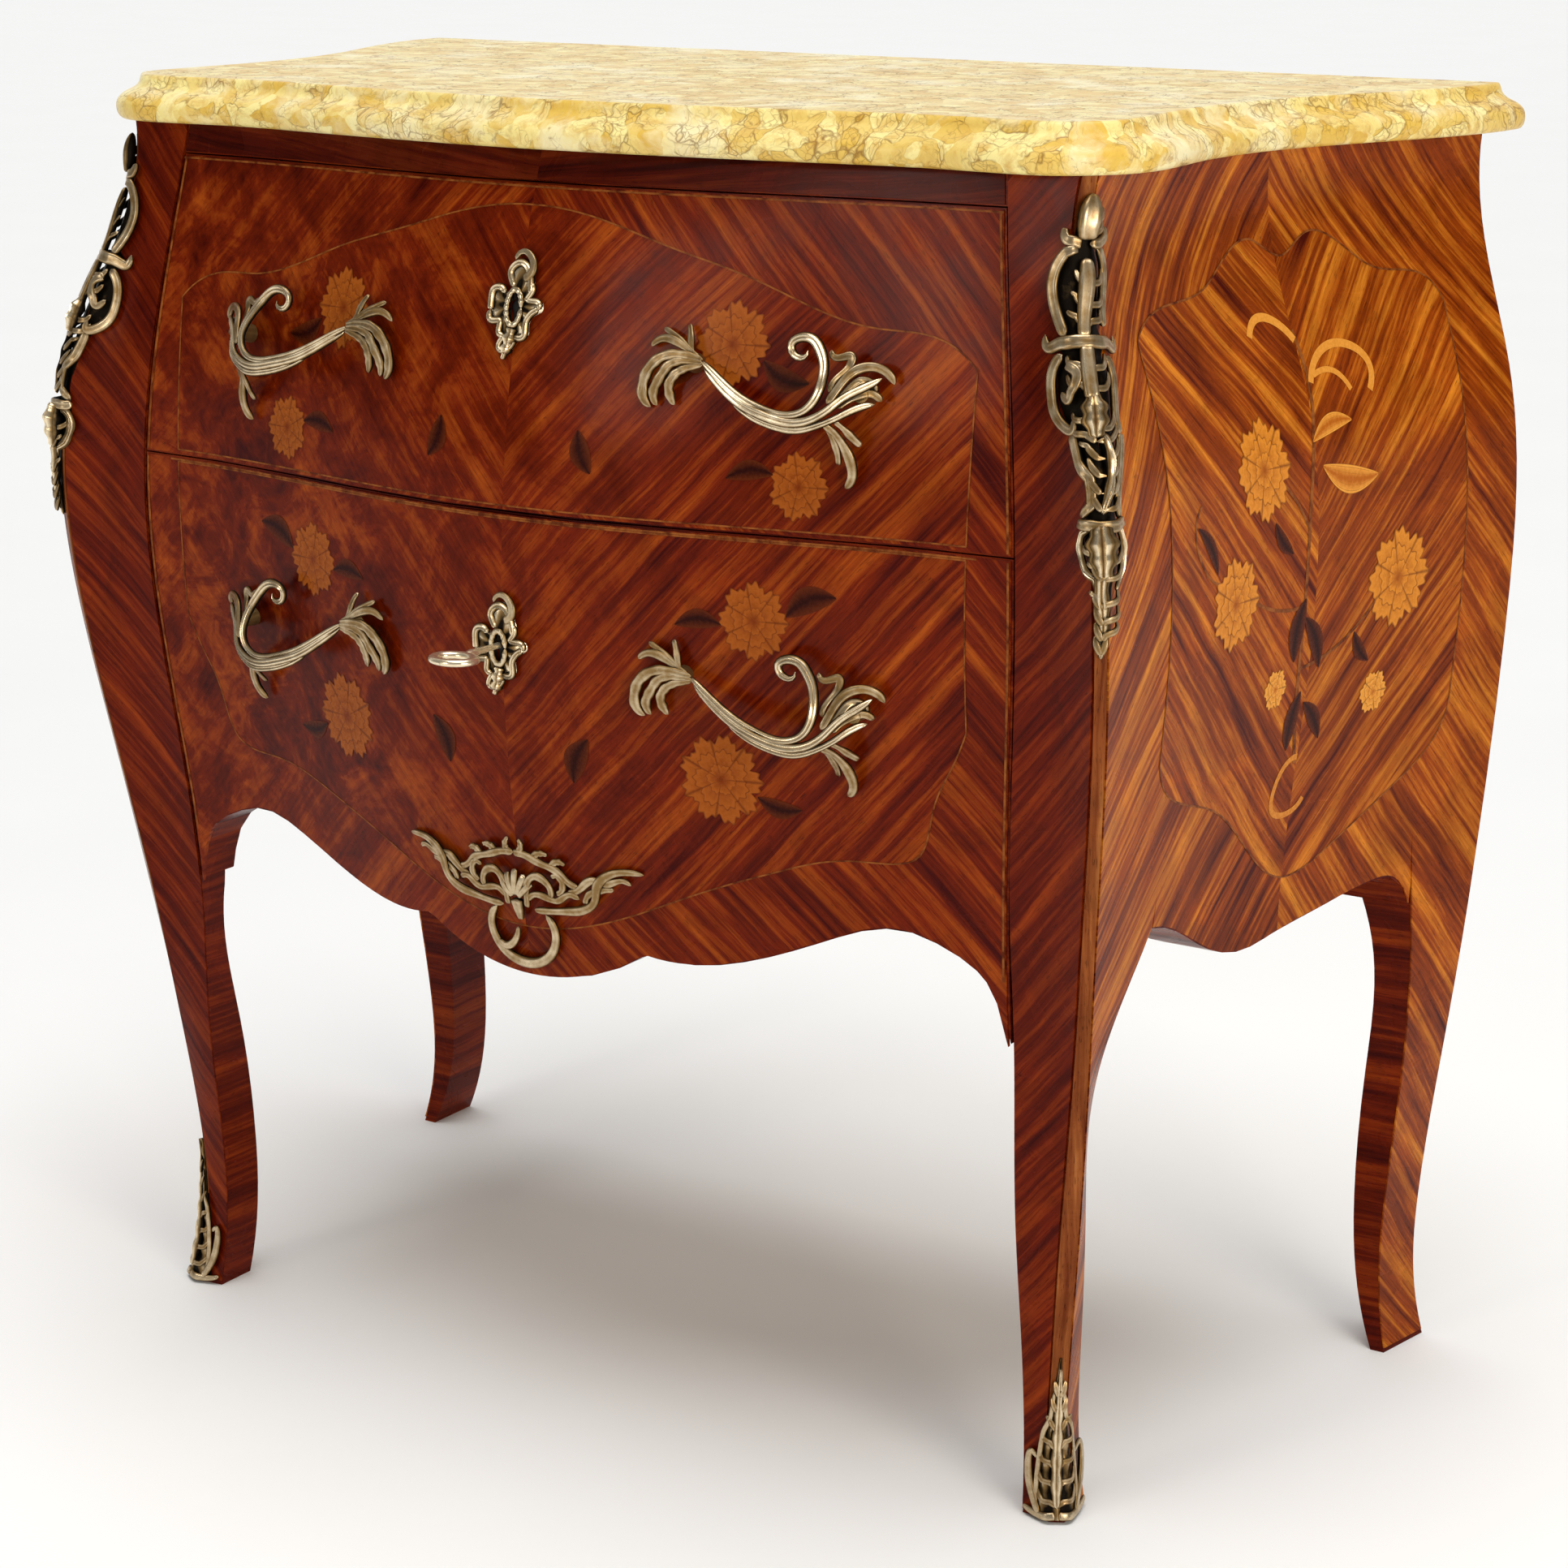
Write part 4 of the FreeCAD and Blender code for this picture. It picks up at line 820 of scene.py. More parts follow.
# Each drawer: lower and upper edges of its veneer and of its field, and the height of its top string
drawers = {
    "upper": (level(upper_low + edge_inset), upper_high - edge_inset,
              level(upper_low + 0.0035), shaped(front_top, True), upper_high - 0.0025),
    "lower": (apron_edge, lower_high - edge_inset,
              shaped(front_low, True), level(lower_high - 0.0035), lower_high - 0.0022),
}
for name, (low, high, field_low, field_high, string_up) in drawers.items():
    body = "drawer_" + name
    lower = name == "lower"
    piece(name + "_veneer", [front_sheet(low, high, 60 if lower else 44)], front_border, body)
    panel = field(on_front, front_across, field_low, field_high, 50, 0)
    piece(name + "_field", [panel], front_field, body)
    strips = outlined(on_front, front_across, field_low, field_high, 0.0005)
    z = np.linspace(apron_edge(0.315) + 0.01 if lower else upper_low + 0.002, high - edge_inset, 30)
    for side in (-1, 1):
        strips.append(ribbon(on_front, np.stack([side * (edge_at(z) - 0.003), z], -1), 0.0008))
    along_top = np.stack([np.linspace(-0.31, 0.31, 40), np.full(40, string_up)], -1)
    strips.append(ribbon(on_front, along_top, 0.0006, count=120))
    piece(name + "_stringing", strips, stringing, body)

share = np.linspace(-1, 1, 97)[None, :]
rail_up = between_edges(rail_low + top_inset, rail_high - top_inset, share, 6)
rail_sheet = skin(on_front, share * (edge_at(rail_up) - top_inset), rail_up, 0)
piece("rail_veneer", [rail_sheet], rail_veneer, "carcass")

panel_up = between_edges(edge_line(side_scallop, side_grid) + edge_inset, case_height - top_inset,
                         side_grid, 70)
side_sheets = [skin(on_side, side_grid, panel_up, 1),
               skin(on_leg, np.linspace(2.0, 2.997, 9)[None, :], leg_rise, 1),
               skin(on_back_leg, np.linspace(0.004, 0.98, 7)[None, :], leg_rise, 1)]
field_sheets = [field(on_side, side_across, shaped(side_low), shaped(side_top), 60, 1)]
cove_sheets = [skin(on_leg, np.linspace(0.01, 0.99, 13)[None, :], leg_rise, 0)]
facet_sheets = [skin(on_leg, np.linspace(1.03, 1.97, 4)[None, :], leg_rise, 0, inlay_lift)]
side_strips = outlined(on_side, side_across, shaped(side_low), shaped(side_top), 0.0006)

# Marquetry of the sides: a stem with three flowers, buds, leaves and tendrils
side_flowers = (flower(on_side, (0.010, 0.645), 0.026, 8) + flower(on_side, (-0.023, 0.569), 0.024, 7)
                + flower(on_side, (0.150, 0.559), 0.027, 8))
side_buds = flower(on_side, (0.031, 0.506), 0.011, 6) + flower(on_side, (0.137, 0.486), 0.012, 6)
side_buds += [blade(on_side, (0.072, 0.640), (0.128, 0.628), 0.009, 0.006),
              blade(on_side, (0.064, 0.655), (0.106, 0.664), 0.006, -0.005)]
side_buds += [ribbon(on_side, path, half, 0.00164) for path, half in (
    (((0.066, 0.716), (0.052, 0.728), (0.034, 0.732), (0.022, 0.722)), 0.0026),
    (((0.072, 0.690), (0.086, 0.706), (0.110, 0.710), (0.131, 0.698), (0.128, 0.680)), 0.0026),
    (((0.076, 0.694), (0.098, 0.694), (0.110, 0.682)), 0.0018),
    (((0.066, 0.456), (0.046, 0.440), (0.046, 0.424), (0.064, 0.419), (0.078, 0.427)), 0.002))]
side_leaves = [blade(on_side, start, end, width, bend) for start, end, width, bend in (
    ((-0.045, 0.590), (-0.068, 0.622), 0.005, 0.004), ((0.056, 0.560), (0.048, 0.520), 0.008, 0.004),
    ((0.056, 0.548), (0.076, 0.512), 0.007, -0.004), ((0.060, 0.500), (0.052, 0.462), 0.007, 0.003),
    ((0.064, 0.492), (0.086, 0.464), 0.006, -0.003), ((0.110, 0.530), (0.128, 0.508), 0.005, 0.003),
    ((0.020, 0.612), (0.040, 0.590), 0.005, 0.003))]
side_stems = [ribbon(on_side, path, half, 0.00162) for path, half in (
    (((0.064, 0.452), (0.056, 0.500), (0.055, 0.560), (0.060, 0.629), (0.070, 0.690), (0.066, 0.722)),
     0.0016),
    (((0.055, 0.555), (0.030, 0.556), (0.000, 0.566)), 0.0011),
    (((0.058, 0.600), (0.040, 0.625), (0.022, 0.640)), 0.0011),
    (((0.055, 0.515), (0.090, 0.522), (0.130, 0.548)), 0.0011),
    (((-0.040, 0.584), (-0.064, 0.600), (-0.070, 0.624), (-0.062, 0.634)), 0.0009))]
side_pieces = (
    ("side_veneer_", side_sheets, side_border), ("side_field_", field_sheets, side_field),
    ("post_veneer_", cove_sheets, post_wood), ("ridge_veneer_", facet_sheets, facet_veneer),
    ("side_flowers_", side_flowers, petal_wood), ("side_buds_", side_buds, bud_wood),
    ("side_leaves_", side_leaves, leaf_wood), ("side_strings_", side_strips + side_stems, stringing))
for side, turned in (("right", list), ("left", mirror)):
    for name, sheets, wood in side_pieces:
        piece(name + side, turned(sheets), wood, "carcass")

# Marquetry of the drawers, the same on both halves
for name, heads, leaves in (
        ("upper", ((0.148, 0.724, 0.021, 8), (0.196, 0.644, 0.017, 7)),
         (((0.168, 0.716), (0.198, 0.704), 0.007, 0.005), ((0.128, 0.716), (0.100, 0.704), 0.006, -0.005),
          ((0.180, 0.650), (0.150, 0.646), 0.006, 0.004), ((0.052, 0.668), (0.062, 0.642), 0.007, 0.003))),
        ("lower", ((0.170, 0.562, 0.020, 8), (0.146, 0.461, 0.024, 9)),
         (((0.190, 0.566), (0.222, 0.580), 0.008, -0.005), ((0.150, 0.558), (0.120, 0.556), 0.006, 0.004),
          ((0.168, 0.452), (0.196, 0.446), 0.006, 0.004), ((0.060, 0.478), (0.048, 0.448), 0.008, 0.004)))):
    petals = [sheet for x, z, radius, count in heads for sheet in flower(on_front, (x, z), radius, count)]
    blades = [blade(on_front, *leaf) for leaf in leaves]
    piece(name + "_flowers", petals + mirror(petals), front_petal, "drawer_" + name)
    piece(name + "_leaves", blades + mirror(blades), leaf_wood, "drawer_" + name)


# Marble slab

def marble_outline(out):
    """The case's top outline set out by an overhang, with rounded ears, from left back to right back."""
    top, ear = case_height, 0.03
    half, depth = line("ridge_half", top), line("ridge_depth", top)
    cut = (ear + out) * (1 - math.sqrt(0.5))
    across = np.array((0.3, 0.6, 0.9)) * line("edge_half", top)
    depths = np.concatenate([[depth - ear / 2], depth * np.array((0.75, 0.4, 0))])
    rows = list(zip(across, front_depth(across, top) + out))
    rows += [(half - ear / 2, depth + out), (half + out - cut, depth + out - cut)]
    rows += list(zip(side_half(depths, top) + out, depths)) + [(side_half(0, top) + out, -0.023)]
    right = np.array(rows)
    return np.concatenate([right[::-1] * (-1, 1), [(0, front_depth(0, top) + out)], right])


overhang = 0.021
slab_behind = 0.018
outer = marble_outline(overhang)
places = np.concatenate([[0], np.cumsum(np.hypot(*np.diff(outer, axis=0).T))])
ring_weights = spline_weights(places, np.linspace(0, places[-1], 301))
slab_edge = (
    (0.0057, 0), (0.0014, 0.0022), (0, 0.0062), (0.0006, 0.0118), (0.0058, 0.0168), (0.0125, 0.0198),
    (0.0165, 0.0236), (0.0178, 0.0272), (0.0192, 0.0288), (0.0205, 0.029),
)
profile = resampled(slab_edge, 30)
rings = np.stack([ring_weights @ marble_outline(overhang - inset) for inset in profile[:, 0]])
rings[..., 1] = np.maximum(rings[..., 1], -slab_behind)
wall_up = np.broadcast_to(case_height + profile[:, 1:2], rings.shape[:2])
wall = spots(rings[..., 0], rings[..., 1], wall_up, rings.shape[:2])
middle = np.array((0, origin_depth + slab_behind))


def fan(ring, turned):
    """Flat face from a ring to a point in the middle of its back edge."""
    v = np.linspace(0, 1, 9)[:, None, None]
    flat = ring[None, :, :2] * (1 - v) + middle * v
    points = np.concatenate([flat, np.broadcast_to(ring[None, :, 2:], flat.shape[:2] + (1,))], -1)
    return points[::-1] if turned else points


back_face = np.stack([wall[:, -1], wall[:, 0]], 1)
slab_faces = (wall, fan(wall[-1], False), fan(wall[0], True), back_face)
piece("marble_slab", [blank(face) for face in slab_faces], marble, "carcass", ["marble_top"])


# Gilt mounts: strands are rows of (across, up, height above the wood, half width) in millimetres

handle_bars = (
    ((-43, 19, 10, 2.4), (-29, 10, 16, 2.4), (-12, 0, 22, 2.6), (5, -6, 27, 2.6), (19, -8, 30, 2.4),
     (31, -5, 30, 2.6), (38, 4, 28, 3), (39, 13, 24, 3.2), (37, 22, 19, 3.4), (33, 29, 16, 3.6),
     (27, 35, 14, 3.4), (19, 36, 13, 3), (13, 32, 12, 2.8), (15, 26, 12, 2.6), (22, 25, 13, 2.2),
     (24, 29, 13, 1.8)),
    ((-41, 16, 10, 2.4), (-25, 4, 18, 2.8), (-11, -4, 23, 3), (5, -9, 28, 3.2), (22, -12, 30, 3.2),
     (37, -9, 30, 2.8), (47, -2, 27, 2.6), (53, 4, 22, 2.6), (62, 10, 16, 2.6), (71, 16, 11, 2.2)),
    ((-18, -2, 20, 1.8), (-4, -10, 25, 2.2), (14, -15, 29, 2.4), (27, -16, 30, 2.4), (41, -12, 28, 2.2),
     (51, -7, 24, 2.2), (59, -2, 18, 2.4), (68, 1, 12, 2)),
)
handle_leaves = (
    ((44, 0, 27, 2), (50, 11, 22, 2.8), (56, 19, 17, 2.8), (66, 22, 12, 3), (72, 20, 9, 3),
     (77, 13, 6, 1.6)),
    ((48, 0, 25, 2), (55, 10, 18, 2.6), (60, 14, 14, 2.6), (65, 12, 11, 3.4), (63, 6, 9, 2)),
    ((50, -2, 24, 2), (58, 5, 17, 2.6), (65, 7, 13, 2.8), (71, 3, 9, 2)),
    ((39, 30, 14, 2.2), (45, 26, 14, 2.4), (51, 27, 12, 3), (51, 22, 13, 2.4), (48, 17, 17, 2),
     (44, 6, 22, 2)),
    ((42, -12, 26, 2), (47, -16, 20, 2.4), (51, -23, 14, 2.8), (55, -33, 10, 3.4), (55, -42, 7, 3.2),
     (50, -48, 5, 1.6)),
    ((44, -13, 24, 1.6), (46, -21, 17, 2), (47, -28, 12, 2.2), (46, -35, 7, 1.5)),
    ((48, -10, 22, 1.8), (53, -15, 16, 2.2), (57, -20, 11, 2.6), (60, -23, 8, 1.5)),
    ((-44, 21, 11, 1.8), (-56, 27, 9, 2.4), (-68, 31, 7, 2.8), (-78, 26, 5, 1.5)),
    ((-45, 21, 11, 1.6), (-55, 28, 9, 2), (-63, 33, 7, 2.2), (-71, 37, 5, 1.2)),
    ((-48, 22, 11, 1.5), (-51, 29, 9, 2), (-53, 36, 7, 2), (-55, 40, 5, 1.2)),
)
handle_shell = (
    ((-42, 20, 11, 2), (-54, 22, 11, 2.6), (-66, 21, 10, 3.2), (-75, 15, 9, 3.6), (-80, 5, 7, 3.6),
     (-80, -3, 6, 3.4), (-75, -9, 5, 1.8)),
    ((-42, 18, 11, 1.8), (-52, 19, 11, 2.4), (-63, 16, 10, 3), (-69, 8, 9, 3.2), (-73, 0, 7, 3.2),
     (-71, -8, 5, 2)),
    ((-42, 17, 11, 1.8), (-51, 15, 10, 2.4), (-59, 11, 9, 3), (-63, 4, 8, 3.2), (-62, -3, 6, 2.8),
     (-60, -7, 5, 1.5)),
)


pull_middle = 0.176
pull_heights = {"upper": 0.6939, "lower": 0.5077}
shield_heights = {"upper": 0.7371, "lower": 0.531}


def millimetres(rows, across=0.0, up=0.0, high=1.0, wide=1.0):
    """Rows in millimetres brought to metres at a place, their heights and widths by a factor."""
    return np.array(rows) * (0.001, 0.001, 0.001 * high, 0.001 * wide) + (across, up, 0, 0)


def handle(height):
    """Right pull: three bars, a scroll, acanthus rays outside, a ribbed shell inside and two bosses."""
    bars, leaves, shell = [[millimetres(rows, pull_middle, height) for rows in part]
                           for part in (handle_bars, handle_leaves, handle_shell)]
    sheets = [strand(on_front, rows, 72, ribs=2, groove=0.4, sides=18) for rows in bars]
    sheets += [strand(on_front, rows, 40, lobes=2, lobe=0.08, groove=0.5, sides=16) for rows in leaves]
    sheets += [strand(on_front, rows, 48, lobes=6, lobe=0.08, groove=0.5, sides=18) for rows in shell]
    for across, up, high in ((-0.050, 0.018, 0.0105), (0.060, 0.006, 0.015)):
        sheets.append(stud(on_front, pull_middle + across, height + up, 0.0, high, 0.0062))
    return sheets


shield = (
    (0, 0.84), (0.3, 0.77), (0.52, 0.46), (0.57, 0.25), (0.47, 0.15), (0.87, 0.1), (0.92, -0.04),
    (0.62, -0.16), (0.5, -0.32), (0.51, -0.5), (0.08, -0.6), (-0.04, -0.82), (-0.36, -0.88), (-0.27, -0.59),
    (-0.51, -0.5), (-0.5, -0.32), (-0.77, -0.32), (-0.93, -0.11), (-0.94, 0.13), (-0.87, 0.3), (-0.6, 0.33),
    (-0.44, 0.23), (-0.1, 0.36), (-0.25, 0.53), (-0.3, 0.63),
)
shield = np.array(shield) * (0.023, 0.036)


def keyhole(turn):
    """Round hole with a slot below: the farther of a circle and a narrow slot, by direction."""
    c, s = np.abs(np.cos(turn)) + 1e-6, np.sin(turn)
    slot_reach = np.minimum(0.0016 / c, 0.0115 / np.maximum(-s, 1e-6))
    return np.maximum(0.0034, np.where(s < 0, slot_reach, 0))


def escutcheon(height):
    """Scrolled shield round a keyhole: a domed plate with curls along its edge."""
    centre = (0.0, height)
    rim = star(shield)
    sheets = [ring_plate(on_front, centre, keyhole, lambda turn: rim(turn) * 0.93, 0.0022, 0.0022,
                         waves=11, wave=0.0006)]
    curls = ((22, 29, 2.6), (27, 32, 2.2), (31, 36, 2.4), (35, 39, 2.2), (38, 43, 2.4), (42, 47, 2.6))
    for first, last, size in curls:
        arc = shield[np.arange(first, last) % len(shield)] * 0.84
        rows = [(x, height + z, 0.0042, size * 0.001) for x, z in arc]
        sheets.append(strand(on_front, rows, 36, ribs=2, groove=0.4, sides=14))
    hook = ((4, 16, 4.5, 3), (10, 26, 4.5, 2.6), (3, 32, 4, 2), (-4, 27, 4, 1.6))
    drop = ((0, -13, 4, 4), (-2, -22, 4, 4.5), (-6, -32, 3, 1.2))
    turn = np.linspace(0, 2 * np.pi, 13)
    flat = 0 * turn
    oval = np.stack([5.4 * np.cos(turn), 10.5 * np.sin(turn) - 1, flat + 5, flat + 1.9], -1)
    sheets.append(strand(on_front, millimetres(oval, 0, height), 60, lobes=14, lobe=0.12, groove=0.2))
    sheets.append(strand(on_front, millimetres(hook, 0, height), 36, groove=0.4))
    sheets.append(strand(on_front, millimetres(drop, 0, height), 30, lobes=3, ribs=2, groove=0.45))
    return sheets


def hole(height):
    """Painted shadow of the keyhole: a dark sheet laid on the veneer where the hole is."""
    turn = np.linspace(2 * np.pi, 0, 61)[None, :]
    v = np.linspace(0.02, 1.1, 4)[:, None]
    reach = v * keyhole(turn)
    points = raised(on_front, reach * np.cos(turn), height + reach * np.sin(turn), 0.0019)
    return [blank(points)]


apron_half = (
    ((91, 393, 3, 1.4), (80, 394, 4, 2.4), (68, 391, 5, 3), (60, 383, 6, 3.2), (57, 372, 6, 3),
     (50, 366, 6, 3), (38, 363, 6, 2.8), (24, 361, 6, 2.6), (12, 360, 6, 2.4)),
    ((38, 376, 5.5, 2.2), (47, 379, 5, 2.8), (56, 386, 5, 2.8), (66, 385, 4.5, 2.6), (77, 388, 4, 2),
     (82, 385, 3.5, 1.4)),
    ((25, 370, 6, 2.2), (24, 380, 6.5, 2.6), (16, 384, 7, 2.8), (10, 379, 7, 2.6), (8, 371, 7, 2.4),
     (7, 361, 6.5, 2.2)),
    ((8, 366, 6.5, 2.2), (20, 371, 6.5, 2.4), (30, 369, 6, 2.4), (38, 374, 6, 2.4), (46, 372, 5.5, 2)),
    ((46, 380, 5, 2), (38, 383, 5, 2.6), (31, 389, 5, 2.8), (22, 392, 5.5, 2.6), (11, 396, 5.5, 2.8),
     (0, 397, 5.5, 2.6)),
    ((30, 374, 6, 2), (35, 379, 5.5, 2.4), (33, 385, 5.5, 2.2), (27, 384, 5.5, 1.6)),
    ((14, 395, 5, 2.4), (20, 399, 5, 2.2), (25, 398, 4.5, 1.2)),
    ((27, 391, 5, 2.2), (33, 395, 4.5, 2.2), (37, 393, 4, 1.2)),
    ((3, 397, 5.5, 2.4), (6, 402, 5, 2.2), (4, 406, 4.5, 1.2)),
    ((50, 369, 5, 2.2), (53, 376, 5, 2.4), (61, 380, 5, 2.4), (70, 381, 4, 1.6)),
)
apron_middle = (
    ((19, 357, 4.5, 2.8), (25, 343, 4.5, 3), (18, 328, 4.5, 3.4), (0, 321, 4.5, 3.8), (-18, 328, 4.5, 3.4),
     (-25, 343, 4.5, 3), (-19, 357, 4.5, 2.8)),
    ((0, 366, 7, 4.5), (0, 358, 6, 3.6), (0, 351, 5, 2)),
    ((-20, 334, 5.5, 2), (-13, 331, 5.5, 2.8), (-6, 337, 5, 2.4), (-4, 345, 4.5, 1.4)),
)


def apron_mount():
    """Winged shell: scrolled wings with flames, a fan of ribs in the middle and an open ring below."""
    wings = [strand(on_front, millimetres(rows), 60, lobes=3, lobe=0.1, groove=0.5, sides=16)
             for rows in apron_half]
    sheets = wings + mirror(wings)
    sheets += [strand(on_front, millimetres(rows), 50, groove=0.4, sides=16) for rows in apron_middle]
    for angle in np.radians((-44, -22, 0, 22, 44)):
        tip = 20 - 5 * abs(math.sin(angle))
        rows = [(reach * math.sin(angle), 366 + reach * math.cos(angle), height, width)
                for reach, height, width in ((3, 8, 1.8), (11, 8, 2.4), (tip, 5.5, 2.4))]
        sheets.append(strand(on_front, millimetres(rows), 22, groove=0.35, sides=14))
    return sheets


corner_strands = (
    ((2, 794, 5, 4), (2, 808, 6, 5.4), (2.6, 816, 5, 4), (2.6, 821, 4, 1.5)),
    ((-1, 792, 4.5, 2.4), (-6, 795, 4.5, 2.4), (-7, 801, 4, 1.4)),
    ((4, 792, 4.5, 2.4), (9, 795, 4.5, 2.4), (9, 801, 4, 1.4)),
    ((-3, 790, 5, 2.4), (-9, 782, 4.5, 2.6), (-12.5, 770, 4, 2.6), (-11, 756, 4, 2.6), (-6, 742, 5, 2.6)),
    ((5, 790, 5, 2.4), (9.5, 778, 4.5, 2.4), (9.5, 763, 4, 2.4), (8, 746, 5, 2.4)),
    ((2, 784, 5, 2.4), (2.4, 770, 6, 3.8), (0.6, 754, 6, 3.2), (0, 740, 6, 3)),
    ((-17, 742, 4, 1.6), (-15, 735, 4, 2.6), (-8, 738, 5, 3), (1, 738, 6, 3.2), (9, 737, 5, 2.8),
     (14, 733, 4, 2.2), (15, 740, 4, 1.4)),
    ((-8, 732, 5, 2.4), (-14, 722, 4.5, 2.6), (-15.6, 708, 4, 2.6), (-12.5, 696, 4.5, 2.6),
     (-7, 692, 5, 2.4), (-5, 699, 5, 1.8)),
    ((-6, 727, 5, 2), (-4, 716, 5.5, 2.4), (-7, 708, 5, 2), (-10, 712, 4.5, 1.5)),
    ((8, 730, 5, 2.4), (12, 716, 4.5, 2.4), (11, 700, 4.5, 2.4), (12, 688, 5, 2.4)),
    ((1, 736, 6, 3), (1, 722, 6.5, 3.4), (2, 708, 6.5, 3.2)),
    ((-6, 691, 5, 2.4), (-4, 674, 4.5, 2.6), (-2.5, 658, 4.5, 2.4), (-5, 645, 4, 1.8)),
    ((12, 689, 5, 2.4), (10, 671, 4.5, 2.6), (7.5, 655, 4.5, 2.4), (9, 644, 4, 1.8)),
    ((-6, 643, 5, 2.2), (2, 641, 6, 2.8), (10, 643, 5, 2.2)),
)
corner_leaves = (
    ((2.5, 688, 6, 3), (2.5, 698, 7, 6.4), (2.5, 706, 6.5, 5.4), (2.5, 712, 6, 2)),
    ((3.5, 690, 5.5, 2), (4, 676, 6, 3.4), (3.5, 660, 5.5, 2.8), (3, 648, 5, 1.8)),
    ((2, 642, 6, 4), (2.4, 634, 6.5, 7.4), (2.6, 624, 6, 6.6), (2.4, 613, 5, 4)),
    ((7, 640, 5, 2), (10, 630, 4.5, 2.8), (9, 616, 4, 2.4), (5, 605, 4, 1.4)),
    ((-3, 640, 5, 2), (-6, 630, 4.5, 2.6), (-4, 616, 4, 2.2), (-1, 606, 4, 1.4)),
    ((2, 615, 5, 3.6), (1, 600, 4.5, 3.8), (1.6, 586, 4, 3.2), (0.6, 574, 3, 2.4), (0, 566, 2.5, 1)),
)
# Small leaves in pairs up the middle of a mount, as rows of (across, up, reach)
corner_pairs = (
    (2, 796, 5), (2, 803, 5), (1, 746, 6), (2, 756, 6.5), (2.4, 768, 6), (1.5, 712, 8), (1, 722, 7),
    (2.5, 686, 9), (2.5, 692, 8), (3, 650, 5), (3, 659, 6), (3.5, 668, 6.5), (3.5, 677, 7.5), (2.4, 612, 6),
    (2.4, 621, 7), (0, 570, 3), (1, 578, 3.6), (1.4, 587, 4), (1, 596, 4.4),
)
# Ground between the strands, painted dark as patina and painted shade, as rows of (up, left, right)
corner_ground = (
    (566, -0.5, 0.5), (590, -2, 4), (606, -2, 5), (614, -3, 7), (630, -6, 9.5), (644, -5, 9),
    (656, -3.5, 8), (672, -5, 10), (688, -7, 12), (696, -11, 11), (708, -14, 11.5), (722, -13, 11.5),
    (731, -9, 9), (738, -13, 12), (745, -7, 8), (757, -10, 9), (770, -11.5, 9.5), (782, -8, 8.5),
    (791, -3, 6), (798, -4, 8), (808, -2, 6), (821, 2, 3),
)


def leaf_pair(across, up, reach, low=6.2):
    """Two leaves rising to either side of a stem."""
    return [[(across, up, low, 1.5), (across + side * reach * 0.65, up + 4, low - 0.4, 1.9),
             (across + side * reach, up + 10, low - 2, 0.9)] for side in (-1, 1)]


def corner_mount():
    """Corner mount: bud head, two pairs of loops, a shell, a drop and a long tail on a dark ground."""
    pairs = [rows for pair in corner_pairs for rows in leaf_pair(*pair)]
    cast = ((corner_strands, 1.35, 44, {"groove": 0.45, "sides": 16}),
            (corner_leaves, 1.2, 56, {"lobes": 3, "lobe": 0.12, "ribs": 3, "groove": 0.5, "flat": 0.7,
                                      "sides": 24}),
            (pairs, 1.1, 18, {"groove": 0.5, "sides": 12}))
    sheets = [strand(on_corner, millimetres(rows, high=1.1, wide=wide), count, **section)
              for part, wide, count, section in cast for rows in part]
    up = np.linspace(0.567, 0.820, 90)[:, None]
    height, left, right = np.array(corner_ground).T / 1000
    share = np.linspace(0, 1, 13)[None, :]
    across = np.interp(up, height, left) * (1 - share) + np.interp(up, height, right) * share
    # Low shade: the ground is painted dark, patina and painted shade between the strands
    sheets.append(blank(folded(on_corner, across, up, 0.0018, ground_fold), 0.1))
    return sheets


def foot_across(share, width, up):
    """Distance sideways on the foot: a share of the width, kept inside the leg's own two faces."""
    ridge = on_leg(1.5 + 0 * up, up)
    left, right = [(on_leg(turn + 0 * up, up) - ridge) @ sideways for turn in (0.06, 2.9)]
    return share * np.where(share < 0, np.minimum(width, -left), np.minimum(width, right))


def foot_strand(side, rows, **section):
    across, up, height, width = np.array(rows).T / 1000
    path = np.stack([foot_across(side + 0 * across, across, up), up, height, width], -1)
    return strand(on_corner, path, 44, **section)


